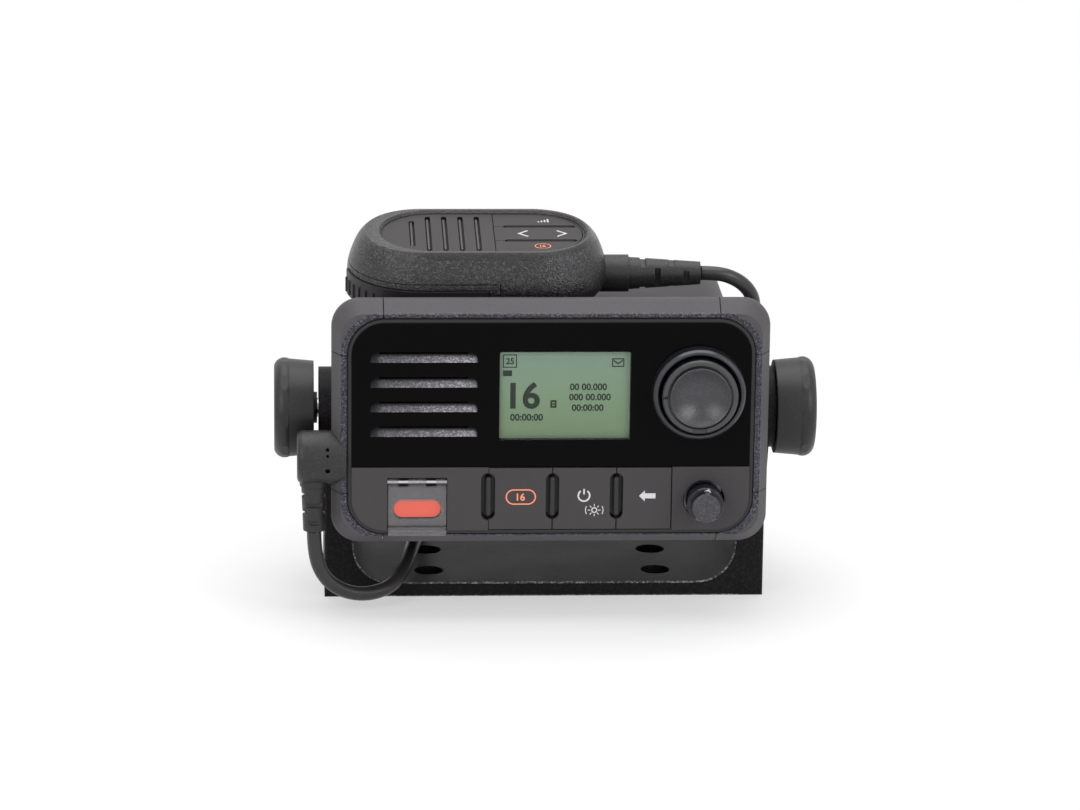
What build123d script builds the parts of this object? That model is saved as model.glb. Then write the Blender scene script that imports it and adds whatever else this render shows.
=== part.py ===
from build123d import *
from math import acos, atan2, cos, hypot, pi, radians, sin, tan
import os

# VHF marine radio in a U-shaped bracket, with a fist microphone lying on its case.
# Millimetres. +X is the radio's right as one faces it, the face looks along -Y, +Z is up.
# The origin is the centre of the bracket's four screw holes, on its underside.

os.makedirs("parts", exist_ok=True)

# ---------------------------------------------------------------- driving sizes: bracket
hole_pitch_x = 96.0
hole_pitch_y = 30.0
screw_hole_d = 5.2
screw_head_d = 12.3
screw_head_depth = 3.2
base_depth = 65.0
base_thickness = 6.2
arm_foot_thickness = 13.0       # where the arm leaves the base
arm_top_thickness = 7.6         # at the pivot
arm_fillet = 16.0
arm_head_r = 17.0
boss_d = 34.0
boss_proud = 2.5
land_step = 2.5                 # flat round the pivot, inside the sloping arm
pivot_y = -30.5
pivot_z = 82.0
washer_thickness = 2.0
knee_drop = 40.0                # front knee of the arm, below the pivot
rear_knee_rise = 3.0
edge_ease = 0.8                 # small chamfer on the moulding's front and rear edges

# ---------------------------------------------------------------- driving sizes: bracket knobs
knob_d = 40.7
knob_length = 16.4
knob_lobes = 8
knob_gap = 0.4                  # right knob, screwed home
knob_slack = 1.6                # left knob, backed off by this much
hub_d = 13.0
stud_d = 8.0
stud_reach = 26.0               # from the knob's skirt into the case insert

# ---------------------------------------------------------------- driving sizes: housing
bezel_width = 180.0
bezel_height = 104.0
bezel_corner_r = 12.0
ring_side_setback = 4.25        # front ring's outer edge, inside the widest outline
ring_top_setback = 5.3
ring_corner_r = 9.5
crest_setback = 7.8             # from the front ring back to the widest outline
bezel_depth = 16.5
bezel_rear_inset = 2.2          # how far the sides fall in behind the crest
crest_r = 5.0
cap_depth = 12.5                # corner caps, behind the front ring
face_z = 85.0
face_reach = 38.0               # front ring ahead of the bracket's front edge
fascia_proud = 1.5
cap_width = 21.6                # corner caps, along the frame
cap_height_top = 22.6
cap_height_bottom = 23.4
cap_seam = 0.3                  # open line between a cap and the frame
case_side_setback = 12.0        # case inside the frame's widest outline
case_top_setback = 10.5
case_drop = 2.0                 # case centre below the face centre
case_corner_r = 11.0
case_wall = 2.5
case_depth = 94.0
sink_plate = 5.0
fin_depth = 15.0
fin_thickness = 2.0
fin_count = 12
fin_side_margin = 44.0          # case edge to the first fin, beside the sockets
fin_far_margin = 17.4
fin_end_margin = 8.5
gasket_thickness = 1.0
insert_d = 13.0
insert_length = 12.0
pad_gap = 0.3                   # washer to case pad
pad_proud = 1.7                 # case pads round the pivot
board_thickness = 1.6
board_gap = 0.3
board_drop = 29.0               # radio board below the case centre
rail_width = 3.0
rail_height = 2.5
board_end_gap = 6.0
rail_front_gap = 4.0
shield_width = 52.0             # screening can on the radio board
shield_depth = 34.0
shield_height = 9.0
shield_x = 18.0
screw_d = 4.0
screw_length = 10.0
screw_post_d = 9.0
screw_inset_x = 8.0
screw_inset_z = 7.5
rib_levels = [-26.0, -19.0, -12.0]
rib_height = 2.0
rib_proud = 0.8
rib_start = 34.0                # side ribs, behind the case's front edge
rib_end = 10.0
speaker_d = 46.0
magnet_d = 24.0
magnet_depth = 17.0
speaker_top_inset = 30.9        # from the window's top edge
rotor_d = 10.0
encoder_side = 15.0
socket_inset = 20.0             # from the case's left side
antenna_rise = 21.0             # above the case centre
antenna_d = 15.88
antenna_length = 14.0
antenna_bore_d = 10.5
power_drop = 2.0
data_drop = 22.0

# ---------------------------------------------------------------- driving sizes: front
window_side_setback = 4.25      # fascia and keypad together, inside the ring's outer edge
window_top_setback = 2.9
window_corner_r = 13.5
window_rise = -0.4              # window centre against the face centre
rim_width = 1.3
rim_proud = 0.9
rim_groove = 0.6                # round the rim, in the frame's front ring
rim_groove_depth = 1.0
fascia_thickness = 5.0
keypad_thickness = 5.0
keypad_height = 26.9            # from the window's lower edge to the line under the fascia
part_gap = 0.15                 # between panels on the front
lcd_left_inset = 60.15          # from the window's edges
lcd_right_inset = 49.35
lcd_top_inset = 12.1
lcd_height = 37.0
scoop_inset = 29.4              # middle of the scoops, from the window's left edge
scoop_width = 43.6
scoop_height = 4.5
scoop_depth = 3.4
scoop_shoulder_r = 3.6
slot_height = 1.4               # sound slot at the foot of each scoop
lens_thickness = 2.0
lens_gap = 0.05
scoop_insets = [14.3, 24.8, 35.1, 45.5]  # from the window's top edge
collar_inset = 21.5             # from the window's right edge
collar_top_inset = 29.1
collar_d = 38.8
collar_proud = 5.5
collar_hole_d = 34.0
main_knob_d = 31.0
main_face_d = 25.0
main_knob_proud = 10.5
main_press = 0.8
main_cap_thickness = 3.0        # its face, ahead of the shaft's bore
flange_drop = 1.6               # ring round the knob's face, and the groove inside it
flange_groove = 0.9
flange_groove_depth = 3.0
side_notch = 1.3
foot_notch = 5.6
notch_depth = 1.2
volume_inset = 18.5
volume_rise = 12.6              # from the window's lower edge
volume_hole_d = 17.0
volume_knob_d = 15.2
volume_proud = 12.0
volume_face_d = 12.0
volume_shoulder = 8.6
volume_ramp_width = 9.0         # slope that joins the face to the skirt
volume_press = 0.8
volume_cap_thickness = 3.4
shaft_d = 6.0
shaft_fit = 0.05                # radial running clearance
turn_gap = 0.35                 # round a knob in its collar or hole
keys_left_inset = 56.0          # from the window's edges
keys_right_inset = 32.0
last_key_width = 22.5
divider_rise = 14.4
divider_height = 19.5
divider_width = 5.3
notch_width = 1.9
bar_width = 2.4
bar_height = 16.8
key_gap = 0.35
key_thickness = 2.6
key_travel = 0.8
distress_inset = 26.9
distress_rise = 11.0
distress_width = 24.4
distress_height = 22.9
distress_floor = 4.0            # depth of the recess
cover_thickness = 1.6
cover_proud = 0.5
lip_reach = 2.4
lip_thickness = 0.8
cover_barrel_d = 3.2
lug_width = 3.4
cover_gap = 0.3
cover_pin_d = 1.6
pill_width = 19.7
pill_height = 7.4
pill_level = 8.8                # above the window's lower edge
pill_travel = 0.8
pill_rise = 1.6

# ---------------------------------------------------------------- driving sizes: plug and cord
plug_d = 22.0
plug_y = -62.0
socket_d = 9.6
socket_length = 12.0
plug_z = 69.5
plug_length = 15.0
relief_d = 10.6
relief_tip_d = 9.0
relief_length = 19.0
cord_d = 6.0
curl_d = 17.2
spigot_d = 5.0
spigot_length = 6.0
plug_hole_inset = 12.5          # mould holes, from the plug's outer end
plug_holes = [(5.5, 1.5), (3.1, 1.2), (-3.1, 2.1)]  # height and diameter of each
plug_hole_depth = 4.0

# ---------------------------------------------------------------- driving sizes: microphone
mic_length = 107.5
mic_depth = 62.0
mic_height = 27.0
mic_x = -28.8
mic_y = -17.0
mic_lean = 8.0                  # its back rests on the hanger stud, so the face leans forward
mic_seam = 9.0                  # rear shell's height
mic_rest_gap = 0.3
mic_corner_ease = 1.3           # its ends are this much short of half-round
mic_panel_end = 11.75           # panel edge inside the body, at the ends and the sides
mic_panel_side = 8.5
mic_rim_chamfer = 1.1
mic_seam_rise = 2.3             # parting line above the talk button
mic_seam_step = 5.0
mic_seam_width = 0.4
mic_seam_depth = 0.5
mic_panel_thickness = 3.0
mic_panel_sink = 1.4
mic_panel_x = 2.5
mic_foot_inset = 6.0            # flat part of the back, inside the sides
mic_stud_x = -20.0
mic_stud_y = 6.0
mic_stud_d = 12.0
mic_slot_count = 5
mic_slot_pitch = 6.8
mic_slot_start = -27.0
mic_slot_width = 2.2
mic_key_split_x = 6.8
mic_groove_y = 8.0
mic_groove_width = 2.6
mic_groove_length = 30.0
mic_groove_x = 26.0
mic_key_thickness = 1.6
mic_wall = 2.2
mic_speaker_d = 30.0
mic_magnet_d = 16.0
mic_cavity_end = 9.75
mic_cavity_side = 12.0
mic_board_end = 15.0
mic_board_side = 4.0
mic_can_x = 22.0                # screening can on the microphone's board
mic_can_length = 24.0
mic_can_depth = 20.0
mic_can_height = 6.0
mic_screw_d = 3.0
mic_screw_end = 18.75
mic_screw_side = 9.5
mic_collar_length = 12.0
talk_end_x = 3.8                # the talk button wraps the left end and runs to here
talk_end_y = -5.0
talk_bottom = 1.8
talk_top = 12.2
talk_thickness = 4.2
talk_proud = 0.7
talk_end_flat = 1.0             # half the straight part of its end
talk_rib_d = 1.3
talk_rib_pitch = 4.1
talk_rib_step = 8               # degrees between ribs round the end
talk_rib_count = 10
talk_rib_rise = 0.9
talk_rib_height = 6.2
talk_rib_margin = 2.0
mic_relief_d = 15.5
mic_relief_tip_d = 9.5
mic_relief_length = 42.0
mic_relief_x = 51.0             # where it starts inside the shells
mic_relief_z = 8.0
talk_travel = 1.6
mic_key_travel = 0.6

# ---------------------------------------------------------------- places worked out from them
ring_width = bezel_width - 2 * ring_side_setback
ring_height = bezel_height - 2 * ring_top_setback
case_width = bezel_width - 2 * case_side_setback
case_height = bezel_height - 2 * case_top_setback
window_width = ring_width - 2 * window_side_setback
window_height = ring_height - 2 * window_top_setback
window_top = window_rise + window_height / 2
window_bottom = window_rise - window_height / 2
keypad_top = window_bottom + keypad_height
lcd_width = window_width - lcd_left_inset - lcd_right_inset
lcd_x = (lcd_left_inset - lcd_right_inset) / 2
lcd_z = window_top - lcd_top_inset - lcd_height / 2
scoop_levels = [window_top - inset for inset in scoop_insets]
speaker_z = window_top - speaker_top_inset
collar_z = window_top - collar_top_inset
volume_z = window_bottom + volume_rise
divider_z = window_bottom + divider_rise
distress_z = window_bottom + distress_rise
pill_z = window_bottom + pill_level
keys_left = -window_width / 2 + keys_left_inset
key_right_end = window_width / 2 - keys_right_inset
divider_pitch = (key_right_end - keys_left - last_key_width) / 2
divider_xs = [keys_left + i * divider_pitch for i in range(3)]
scoop_x = -window_width / 2 + scoop_inset
distress_x = -window_width / 2 + distress_inset
collar_x = window_width / 2 - collar_inset
volume_x = window_width / 2 - volume_inset
split_x = bezel_width / 2 - cap_width
split_z_top = bezel_height / 2 - cap_height_top
split_z_bottom = bezel_height / 2 - cap_height_bottom
socket_x = -case_width / 2 + socket_inset
fin_start = -case_width / 2 + fin_side_margin
fin_pitch = (case_width - fin_side_margin - fin_far_margin) / (fin_count - 1)
fin_height = case_height - 2 * fin_end_margin
screw_pitch_x = case_width - 2 * screw_inset_x
screw_pitch_z = case_height - 2 * screw_inset_z
base_front = -base_depth / 2
ring_y = base_front - face_reach
face_y = ring_y - fascia_proud
crest_y = ring_y + crest_setback
bezel_back = ring_y + bezel_depth
case_back = bezel_back + case_depth
case_z = face_z - case_drop
case_top = case_z + case_height / 2
board_z = case_z - board_drop
antenna_z = case_z + antenna_rise
power_z = case_z - power_drop
data_z = case_z - data_drop
pad_face = case_width / 2 + pad_proud
arm_land = pad_face + pad_gap + washer_thickness
arm_face = arm_land + land_step + arm_top_thickness
boss_face = arm_face + boss_proud
bracket_width = 2 * arm_face
mic_foot_depth = mic_depth - 2 * mic_foot_inset
mic_panel_length = mic_length - 2 * mic_panel_end
mic_panel_depth = mic_depth - 2 * mic_panel_side
mic_cavity_length = mic_length - 2 * mic_cavity_end
mic_cavity_depth = mic_depth - 2 * mic_cavity_side
mic_screw_pitch_x = mic_length - 2 * mic_screw_end
mic_screw_pitch_y = mic_depth - 2 * mic_screw_side
sides = {"left": -1, "right": 1}
corners = {
    "top_left": (-1, 1),
    "top_right": (1, 1),
    "bottom_left": (-1, -1),
    "bottom_right": (1, -1),
}


def front_plane(y):
    """Plane facing the viewer at depth y, centred on the face: sketch x is X, sketch y is Z."""
    return Plane(origin=(0, y, face_z), x_dir=(1, 0, 0), z_dir=(0, -1, 0))


def side_plane(x, y, z):
    """Plane across the pivot axis: its normal is +X, sketch x is Y, sketch y is Z."""
    return Plane(origin=(x, y, z), x_dir=(0, 1, 0), z_dir=(1, 0, 0))


def tangent_point(centre, radius, point, turn):
    """Where the line from point touches the circle, on the side given by turn."""
    dy = point[0] - centre[0]
    dz = point[1] - centre[1]
    angle = atan2(dz, dy) + turn * acos(radius / hypot(dy, dz))
    return (centre[0] + radius * cos(angle), centre[1] + radius * sin(angle))


# ================================================================ bracket
# One moulding: a base with four counterbored holes and two arms that thicken towards the base.
arm_top = pivot_z + arm_head_r
head = (pivot_y, pivot_z)
front_knee = (base_front, pivot_z - knee_drop)
rear_knee = (base_depth / 2, base_thickness + rear_knee_rise)

with BuildPart() as bracket:
    with BuildSketch(Plane.XZ) as across:
        Rectangle(bracket_width, arm_top, align=(Align.CENTER, Align.MIN))
        with BuildLine():
            Polyline(
                (-arm_face + arm_foot_thickness, base_thickness),
                (arm_face - arm_foot_thickness, base_thickness),
                (arm_face - arm_top_thickness, arm_top),
                (-arm_face + arm_top_thickness, arm_top),
                close=True,
            )
        make_face(mode=Mode.SUBTRACT)
        fillet(across.vertices().group_by(Axis.Y)[1], arm_fillet)
    extrude(amount=base_depth * 2, both=True)
    with BuildSketch(Plane.YZ):
        with BuildLine():
            Polyline(
                (base_front, 0),
                (base_depth / 2, 0),
                rear_knee,
                tangent_point(head, arm_head_r, rear_knee, 1),
                head,
                tangent_point(head, arm_head_r, front_knee, -1),
                front_knee,
                close=True,
            )
        make_face()
        with Locations(head):
            Circle(arm_head_r)
    extrude(amount=bracket_width, both=True, mode=Mode.INTERSECT)
    for side in sides.values():
        with BuildSketch(side_plane(side * arm_land, pivot_y, pivot_z)):
            Circle(boss_d / 2)
        extrude(amount=side * (boss_face - arm_land))
        with BuildSketch(side_plane(side * boss_face, pivot_y, pivot_z)):
            Circle(hub_d / 2 + turn_gap)
        extrude(amount=-side * boss_proud, mode=Mode.SUBTRACT)
    with BuildSketch(Plane.YZ):
        with Locations(head):
            Circle(stud_d / 2 + shaft_fit)
    extrude(amount=bracket_width, both=True, mode=Mode.SUBTRACT)
    with Locations(Plane.XY.offset(base_thickness)):
        with GridLocations(hole_pitch_x, hole_pitch_y, 2, 2):
            CounterBoreHole(screw_hole_d / 2, screw_head_d / 2, screw_head_depth)
    for end in (base_front, base_depth / 2):
        end_edges = bracket.edges().filter_by_position(Axis.Y, end - 0.01, end + 0.01)
        chamfer(end_edges.filter_by_position(Axis.Z, -1, front_knee[1] - 1), edge_ease)
bracket.part.label = "bracket"
export_step(bracket.part, "parts/bracket.step")

# Friction washers between the arms and the case, face to face with the arms.
with BuildPart() as washers:
    for side in sides.values():
        with BuildSketch(side_plane(side * arm_land, pivot_y, pivot_z)):
            Circle(boss_d / 2 - 1)
            Circle(stud_d / 2 + turn_gap, mode=Mode.SUBTRACT)
        extrude(amount=-side * washer_thickness)
washers.part.label = "pivot_washers"
export_step(washers.part, "parts/pivot_washers.step")

# ================================================================ bracket knobs
# Each knob is a lobed cap moulded round a steel stud that screws into the case.
for name, side in sides.items():
    skirt = boss_face + knob_gap + (knob_slack if name == "left" else 0)
    with BuildPart() as knob:
        with BuildSketch(side_plane(side * skirt, pivot_y, pivot_z)) as lobes:
            RegularPolygon(knob_d / 2 * 1.09, knob_lobes, rotation=180 / knob_lobes)
            fillet(lobes.vertices(), knob_d * 0.2)
        extrude(amount=side * knob_length)
        with BuildSketch(Plane(origin=(side * skirt, pivot_y, pivot_z), x_dir=(1, 0, 0), z_dir=(0, -1, 0))):
            with BuildLine():
                Polyline(
                    (0, 0),
                    (0, knob_d / 2 * 0.955),
                    (side * knob_length * 0.62, knob_d / 2),
                )
                ThreePointArc(
                    (side * knob_length * 0.62, knob_d / 2),
                    (side * knob_length * 0.92, knob_d / 2 * 0.965),
                    (side * knob_length, knob_d / 2 * 0.86),
                )
                Polyline(
                    (side * knob_length, knob_d / 2 * 0.86),
                    (side * knob_length * 0.94, 0),
                    (0, 0),
                )
            make_face()
        revolve(axis=Axis((0, pivot_y, pivot_z), (1, 0, 0)), mode=Mode.INTERSECT)
        with BuildSketch(side_plane(side * skirt, pivot_y, pivot_z)):
            Circle(knob_d / 2 - 4.5)
            Circle(hub_d / 2, mode=Mode.SUBTRACT)
        extrude(amount=side * (knob_length - 6), mode=Mode.SUBTRACT)
        with BuildSketch(side_plane(side * (skirt - knob_gap - 1), pivot_y, pivot_z)):
            Circle(hub_d / 2)
        extrude(amount=side * (knob_length - 4))
        with BuildSketch(side_plane(side * (skirt - knob_gap - 1), pivot_y, pivot_z)):
            Circle(stud_d / 2)
        extrude(amount=side * (knob_length - 6), mode=Mode.SUBTRACT)
    knob.part.label = f"bracket_knob_{name}"
    export_step(knob.part, f"parts/bracket_knob_{name}.step")

    with BuildPart() as stud:
        with BuildSketch(side_plane(side * (skirt - knob_gap - 1 + knob_length - 6), pivot_y, pivot_z)):
            Circle(stud_d / 2)
        extrude(amount=-side * (knob_length - 7 + stud_reach))
        chamfer(stud.faces().sort_by(Axis.X)[0 if side > 0 else -1].edges(), 0.8)
    stud.part.label = f"stud_{name}"
    export_step(stud.part, f"parts/stud_{name}.step")

# ================================================================ housing: bezel and corner caps
# The frame's sides slope out from the front ring to a rounded crest, then fall in to the case.
window = (window_width, window_height, window_corner_r)
seat_y = face_y + fascia_thickness
rotor_y = seat_y + 0.6
case_inside = (case_width - 2 * case_wall, case_height - 2 * case_wall)

with BuildPart() as frame_form:
    with BuildSketch(front_plane(crest_y)):
        RectangleRounded(bezel_width, bezel_height, bezel_corner_r)
    with BuildSketch(front_plane(ring_y)):
        RectangleRounded(ring_width, ring_height, ring_corner_r)
    loft(ruled=True)
    with BuildSketch(front_plane(bezel_back)):
        RectangleRounded(
            bezel_width - 2 * bezel_rear_inset,
            bezel_height - 2 * bezel_rear_inset,
            bezel_corner_r - bezel_rear_inset,
        )
    with BuildSketch(front_plane(crest_y)):
        RectangleRounded(bezel_width, bezel_height, bezel_corner_r)
    loft(ruled=True)
    fillet(frame_form.edges().filter_by_position(Axis.Y, crest_y - 0.01, crest_y + 0.01), crest_r)

with BuildPart() as frame_opening:
    with BuildSketch(front_plane(ring_y - fascia_proud)):
        with Locations((0, window_rise)):
            RectangleRounded(
                window_width + 2 * rim_width,
                window_height + 2 * rim_width,
                window_corner_r + rim_width,
            )
    extrude(amount=-fascia_thickness)
    with BuildSketch(front_plane(ring_y)):
        with Locations((0, window_rise)):
            RectangleRounded(
                window_width + 2 * (rim_width + rim_groove),
                window_height + 2 * (rim_width + rim_groove),
                window_corner_r + rim_width + rim_groove,
            )
    extrude(amount=-rim_groove_depth)
    with BuildSketch(front_plane(seat_y)):
        with Locations((0, -case_drop)):
            RectangleRounded(*case_inside, case_corner_r - case_wall)
    extrude(amount=-bezel_depth)

with BuildPart() as cap_boxes:
    with BuildSketch(front_plane(ring_y)):
        for side, level in corners.values():
            split_z = split_z_top if level > 0 else split_z_bottom
            with Locations((side * split_x, level * split_z)):
                Rectangle(
                    bezel_width,
                    bezel_height,
                    align=(
                        Align.MIN if side > 0 else Align.MAX,
                        Align.MIN if level > 0 else Align.MAX,
                    ),
                )
    extrude(amount=-cap_depth)

with BuildPart() as bezel:
    add(frame_form.part)
    add(frame_opening.part, mode=Mode.SUBTRACT)
    add(cap_boxes.part, mode=Mode.SUBTRACT)
    with BuildSketch(side_plane(-bezel_width / 2, plug_y, plug_z)):
        Circle(socket_d / 2)
    extrude(amount=socket_length, mode=Mode.SUBTRACT)
bezel.part.label = "bezel"
export_step(bezel.part, "parts/bezel.step")

for name, (side, level) in corners.items():
    with BuildPart() as cap:
        add(frame_form.part)
        add(frame_opening.part, mode=Mode.SUBTRACT)
        split_z = split_z_top if level > 0 else split_z_bottom
        with BuildSketch(front_plane(ring_y)):
            with Locations((side * (split_x + cap_seam), level * (split_z + cap_seam))):
                Rectangle(
                    bezel_width,
                    bezel_height,
                    align=(
                        Align.MIN if side > 0 else Align.MAX,
                        Align.MIN if level > 0 else Align.MAX,
                    ),
                )
        extrude(amount=-cap_depth, mode=Mode.INTERSECT)
    cap.part.label = f"corner_cap_{name}"
    export_step(cap.part, f"parts/corner_cap_{name}.step")

# Thin rim between the frame and the front panels.
with BuildPart() as rim_gasket:
    with BuildSketch(front_plane(ring_y - rim_proud)):
        with Locations((0, window_rise)):
            RectangleRounded(
                window_width + 2 * rim_width,
                window_height + 2 * rim_width,
                window_corner_r + rim_width,
            )
            RectangleRounded(*window, mode=Mode.SUBTRACT)
    extrude(amount=-(fascia_thickness - fascia_proud + rim_proud))
rim_gasket.part.label = "rim_gasket"
export_step(rim_gasket.part, "parts/rim_gasket.step")

# ================================================================ housing: fascia and display
# Four sound scoops: floors that slope in behind a rounded mouth, each with a slot at its back.
with BuildPart() as scoops:
    with BuildSketch(Plane.YZ.offset(scoop_x)):
        for level in scoop_levels:
            scoop_bottom = face_z + level - scoop_height / 2
            with BuildLine():
                Polyline(
                    (face_y - 1, scoop_bottom - scoop_height / scoop_depth),
                    (face_y + scoop_depth, scoop_bottom + scoop_height),
                    (face_y - 1, scoop_bottom + scoop_height),
                    close=True,
                )
            make_face()
    extrude(amount=scoop_width / 2, both=True)
    with BuildSketch(front_plane(face_y - 1)):
        for level in scoop_levels:
            with Locations((scoop_x, level + scoop_height / 2)):
                RectangleRounded(
                    scoop_width,
                    2 * scoop_height,
                    scoop_shoulder_r,
                    align=(Align.CENTER, Align.MAX),
                )
    extrude(amount=-fascia_thickness, mode=Mode.INTERSECT)
    with BuildSketch(front_plane(face_y + scoop_depth - 1)):
        for level in scoop_levels:
            with Locations((scoop_x, level + scoop_height / 2)):
                Rectangle(
                    scoop_width - 2 * scoop_shoulder_r,
                    slot_height,
                    align=(Align.CENTER, Align.MAX),
                )
    extrude(amount=-fascia_thickness)

# Black gloss panel with the scoops, the display window and the main knob's hole.
with BuildPart() as fascia:
    with BuildSketch(front_plane(face_y)):
        with Locations((0, window_rise)):
            RectangleRounded(*window)
        with Locations((0, keypad_top + part_gap / 2)):
            Rectangle(bezel_width, bezel_height, align=(Align.CENTER, Align.MIN), mode=Mode.INTERSECT)
        with Locations((lcd_x, lcd_z)):
            RectangleRounded(lcd_width, lcd_height, 0.8, mode=Mode.SUBTRACT)
        with Locations((collar_x, collar_z)):
            Circle(collar_hole_d / 2, mode=Mode.SUBTRACT)
    extrude(amount=-fascia_thickness)
    fillet(fascia.faces().sort_by(Axis.Y)[0].outer_wire().edges(), 0.4)
    add(scoops.part, mode=Mode.SUBTRACT)
fascia.part.label = "fascia"
export_step(fascia.part, "parts/fascia.step")

with BuildPart() as lcd_lens:
    with BuildSketch(front_plane(face_y)):
        with Locations((lcd_x, lcd_z)):
            RectangleRounded(lcd_width - 2 * lens_gap, lcd_height - 2 * lens_gap, 0.8)
    extrude(amount=-lens_thickness)
lcd_lens.part.label = "lcd_lens"
export_step(lcd_lens.part, "parts/lcd_lens.step")

# The display: a glass cell that reaches up behind its lens, on a frame in front of the board.
board_y = bezel_back - 4.5
with BuildPart() as lcd_module:
    with BuildSketch(front_plane(face_y + lens_thickness)):
        with Locations((lcd_x, lcd_z)):
            RectangleRounded(lcd_width - 4 * lens_gap, lcd_height - 4 * lens_gap, 0.8)
    extrude(amount=-(fascia_thickness - lens_thickness))
    with BuildSketch(front_plane(seat_y)):
        with Locations((lcd_x, lcd_z)):
            Rectangle(lcd_width + 5, lcd_height + 6)
    extrude(amount=-(board_y - seat_y))
lcd_module.part.label = "lcd_module"
export_step(lcd_module.part, "parts/lcd_module.step")

# ================================================================ housing: keypad
# The grey strip carries three keys, the raised bars between them, and the distress recess.
shelf_depth = key_thickness + key_travel + 0.1
with BuildPart() as keypad_panel:
    with BuildSketch(front_plane(face_y)):
        with Locations((0, window_rise)):
            RectangleRounded(*window)
        with Locations((0, keypad_top - part_gap / 2)):
            Rectangle(bezel_width, bezel_height, align=(Align.CENTER, Align.MAX), mode=Mode.INTERSECT)
        with Locations((volume_x, volume_z)):
            Circle(volume_hole_d / 2, mode=Mode.SUBTRACT)
    extrude(amount=-keypad_thickness)
    with BuildSketch(front_plane(face_y)):
        with Locations((keys_left, 0)):
            Rectangle(
                key_right_end + key_gap - keys_left,
                bezel_height,
                align=(Align.MIN, Align.CENTER),
            )
        for x in divider_xs:
            with Locations((x, divider_z)):
                SlotOverall(divider_height, divider_width, rotation=90)
    extrude(amount=-shelf_depth, mode=Mode.SUBTRACT)
    with BuildSketch(front_plane(face_y + shelf_depth)):
        for x in divider_xs:
            with Locations((x, divider_z)):
                SlotOverall(bar_height, bar_width, rotation=90)
    extrude(amount=shelf_depth)
    with BuildSketch(front_plane(face_y)):
        with Locations((distress_x, distress_z + distress_height / 2)):
            Rectangle(distress_width, bezel_height, align=(Align.CENTER, Align.MAX))
    extrude(amount=-distress_floor, mode=Mode.SUBTRACT)
    with BuildSketch(front_plane(face_y)):
        with Locations((distress_x, pill_z)):
            SlotOverall(pill_width - 2, pill_height - 2)
    extrude(amount=-keypad_thickness, mode=Mode.SUBTRACT)
keypad_panel.part.label = "keypad_panel"
export_step(keypad_panel.part, "parts/keypad_panel.step")

key_spans = {
    "key_sixteen": (divider_xs[0] + key_gap / 2, divider_xs[1] - key_gap / 2),
    "key_power": (divider_xs[1] + key_gap / 2, divider_xs[2] - key_gap / 2),
    "key_back": (divider_xs[2] + key_gap / 2, key_right_end),
}
for name, (left, right) in key_spans.items():
    with BuildPart() as key:
        with BuildSketch(front_plane(face_y)):
            with Locations((0, window_rise)):
                RectangleRounded(window_width, window_height - 2 * key_gap, window_corner_r)
            with Locations((left, keypad_top - part_gap / 2 - key_gap)):
                Rectangle(right - left, bezel_height, align=(Align.MIN, Align.MAX), mode=Mode.INTERSECT)
            for x in divider_xs:
                with Locations((x, divider_z)):
                    SlotOverall(divider_height, divider_width, rotation=90, mode=Mode.SUBTRACT)
        extrude(amount=-key_thickness)
        fillet(key.faces().sort_by(Axis.Y)[0].edges(), 0.3)
    key.part.label = name
    export_step(key.part, f"parts/{name}.step")

# ================================================================ housing: distress key and its cover
pill_seat = face_y + distress_floor - pill_travel - 0.05
with BuildPart() as distress_button:
    with BuildSketch(front_plane(pill_seat)):
        with Locations((distress_x, pill_z)):
            SlotOverall(pill_width, pill_height)
    extrude(amount=pill_rise)
    fillet(distress_button.faces().sort_by(Axis.Y)[0].edges(), 0.5)
    with BuildSketch(front_plane(pill_seat)):
        with Locations((distress_x, pill_z)):
            SlotOverall(pill_width - 2 - 2 * cover_gap, pill_height - 2 - 2 * cover_gap)
    extrude(amount=-(keypad_thickness - distress_floor))
distress_button.part.label = "distress_button"
export_step(distress_button.part, "parts/distress_button.step")

# A clear flap with three barrels on a pin across the top of the recess.
cover_width = distress_width - 2 * cover_gap
cover_top = face_z + distress_z + distress_height / 2
hinge_z = cover_top - cover_barrel_d / 2 - cover_gap
hinge_y = face_y + cover_barrel_d / 2 - 0.4
cover_bottom = face_z + window_rise - window_height / 2 + cover_gap
with BuildPart() as distress_cover:
    with BuildSketch(front_plane(face_y - cover_proud)):
        with Locations((distress_x, hinge_z - face_z)):
            Rectangle(cover_width, hinge_z - cover_bottom, align=(Align.CENTER, Align.MAX))
    extrude(amount=-cover_thickness)
    with BuildSketch(front_plane(face_y - cover_proud)):
        with Locations((distress_x, hinge_z - face_z)):
            Rectangle(cover_width, hinge_z - cover_bottom + lip_reach, align=(Align.CENTER, Align.MAX))
    extrude(amount=-lip_thickness)
    fillet(distress_cover.edges().filter_by(Axis.Y).group_by(Axis.Z)[0], 0.8)
    with BuildSketch(side_plane(distress_x, hinge_y, hinge_z)):
        Circle(cover_barrel_d / 2)
    extrude(amount=cover_width / 2, both=True)
    with BuildSketch(side_plane(distress_x, hinge_y, hinge_z)):
        Circle(cover_pin_d / 2 + shaft_fit)
    extrude(amount=cover_width / 2, both=True, mode=Mode.SUBTRACT)
    with BuildSketch(front_plane(face_y - 2)):
        for side in sides.values():
            with Locations((distress_x + side * cover_width * 0.24, hinge_z - face_z + 0.2)):
                Rectangle(lug_width + 2 * cover_gap, cover_barrel_d + 1.2)
    extrude(amount=-keypad_thickness - 2, mode=Mode.SUBTRACT)
distress_cover.part.label = "distress_cover"
export_step(distress_cover.part, "parts/distress_cover.step")

with BuildPart() as cover_pin:
    with BuildSketch(side_plane(distress_x, hinge_y, hinge_z)):
        Circle(cover_pin_d / 2)
    extrude(amount=distress_width / 2, both=True)
cover_pin.part.label = "cover_pin"
export_step(cover_pin.part, "parts/cover_pin.step")

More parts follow.
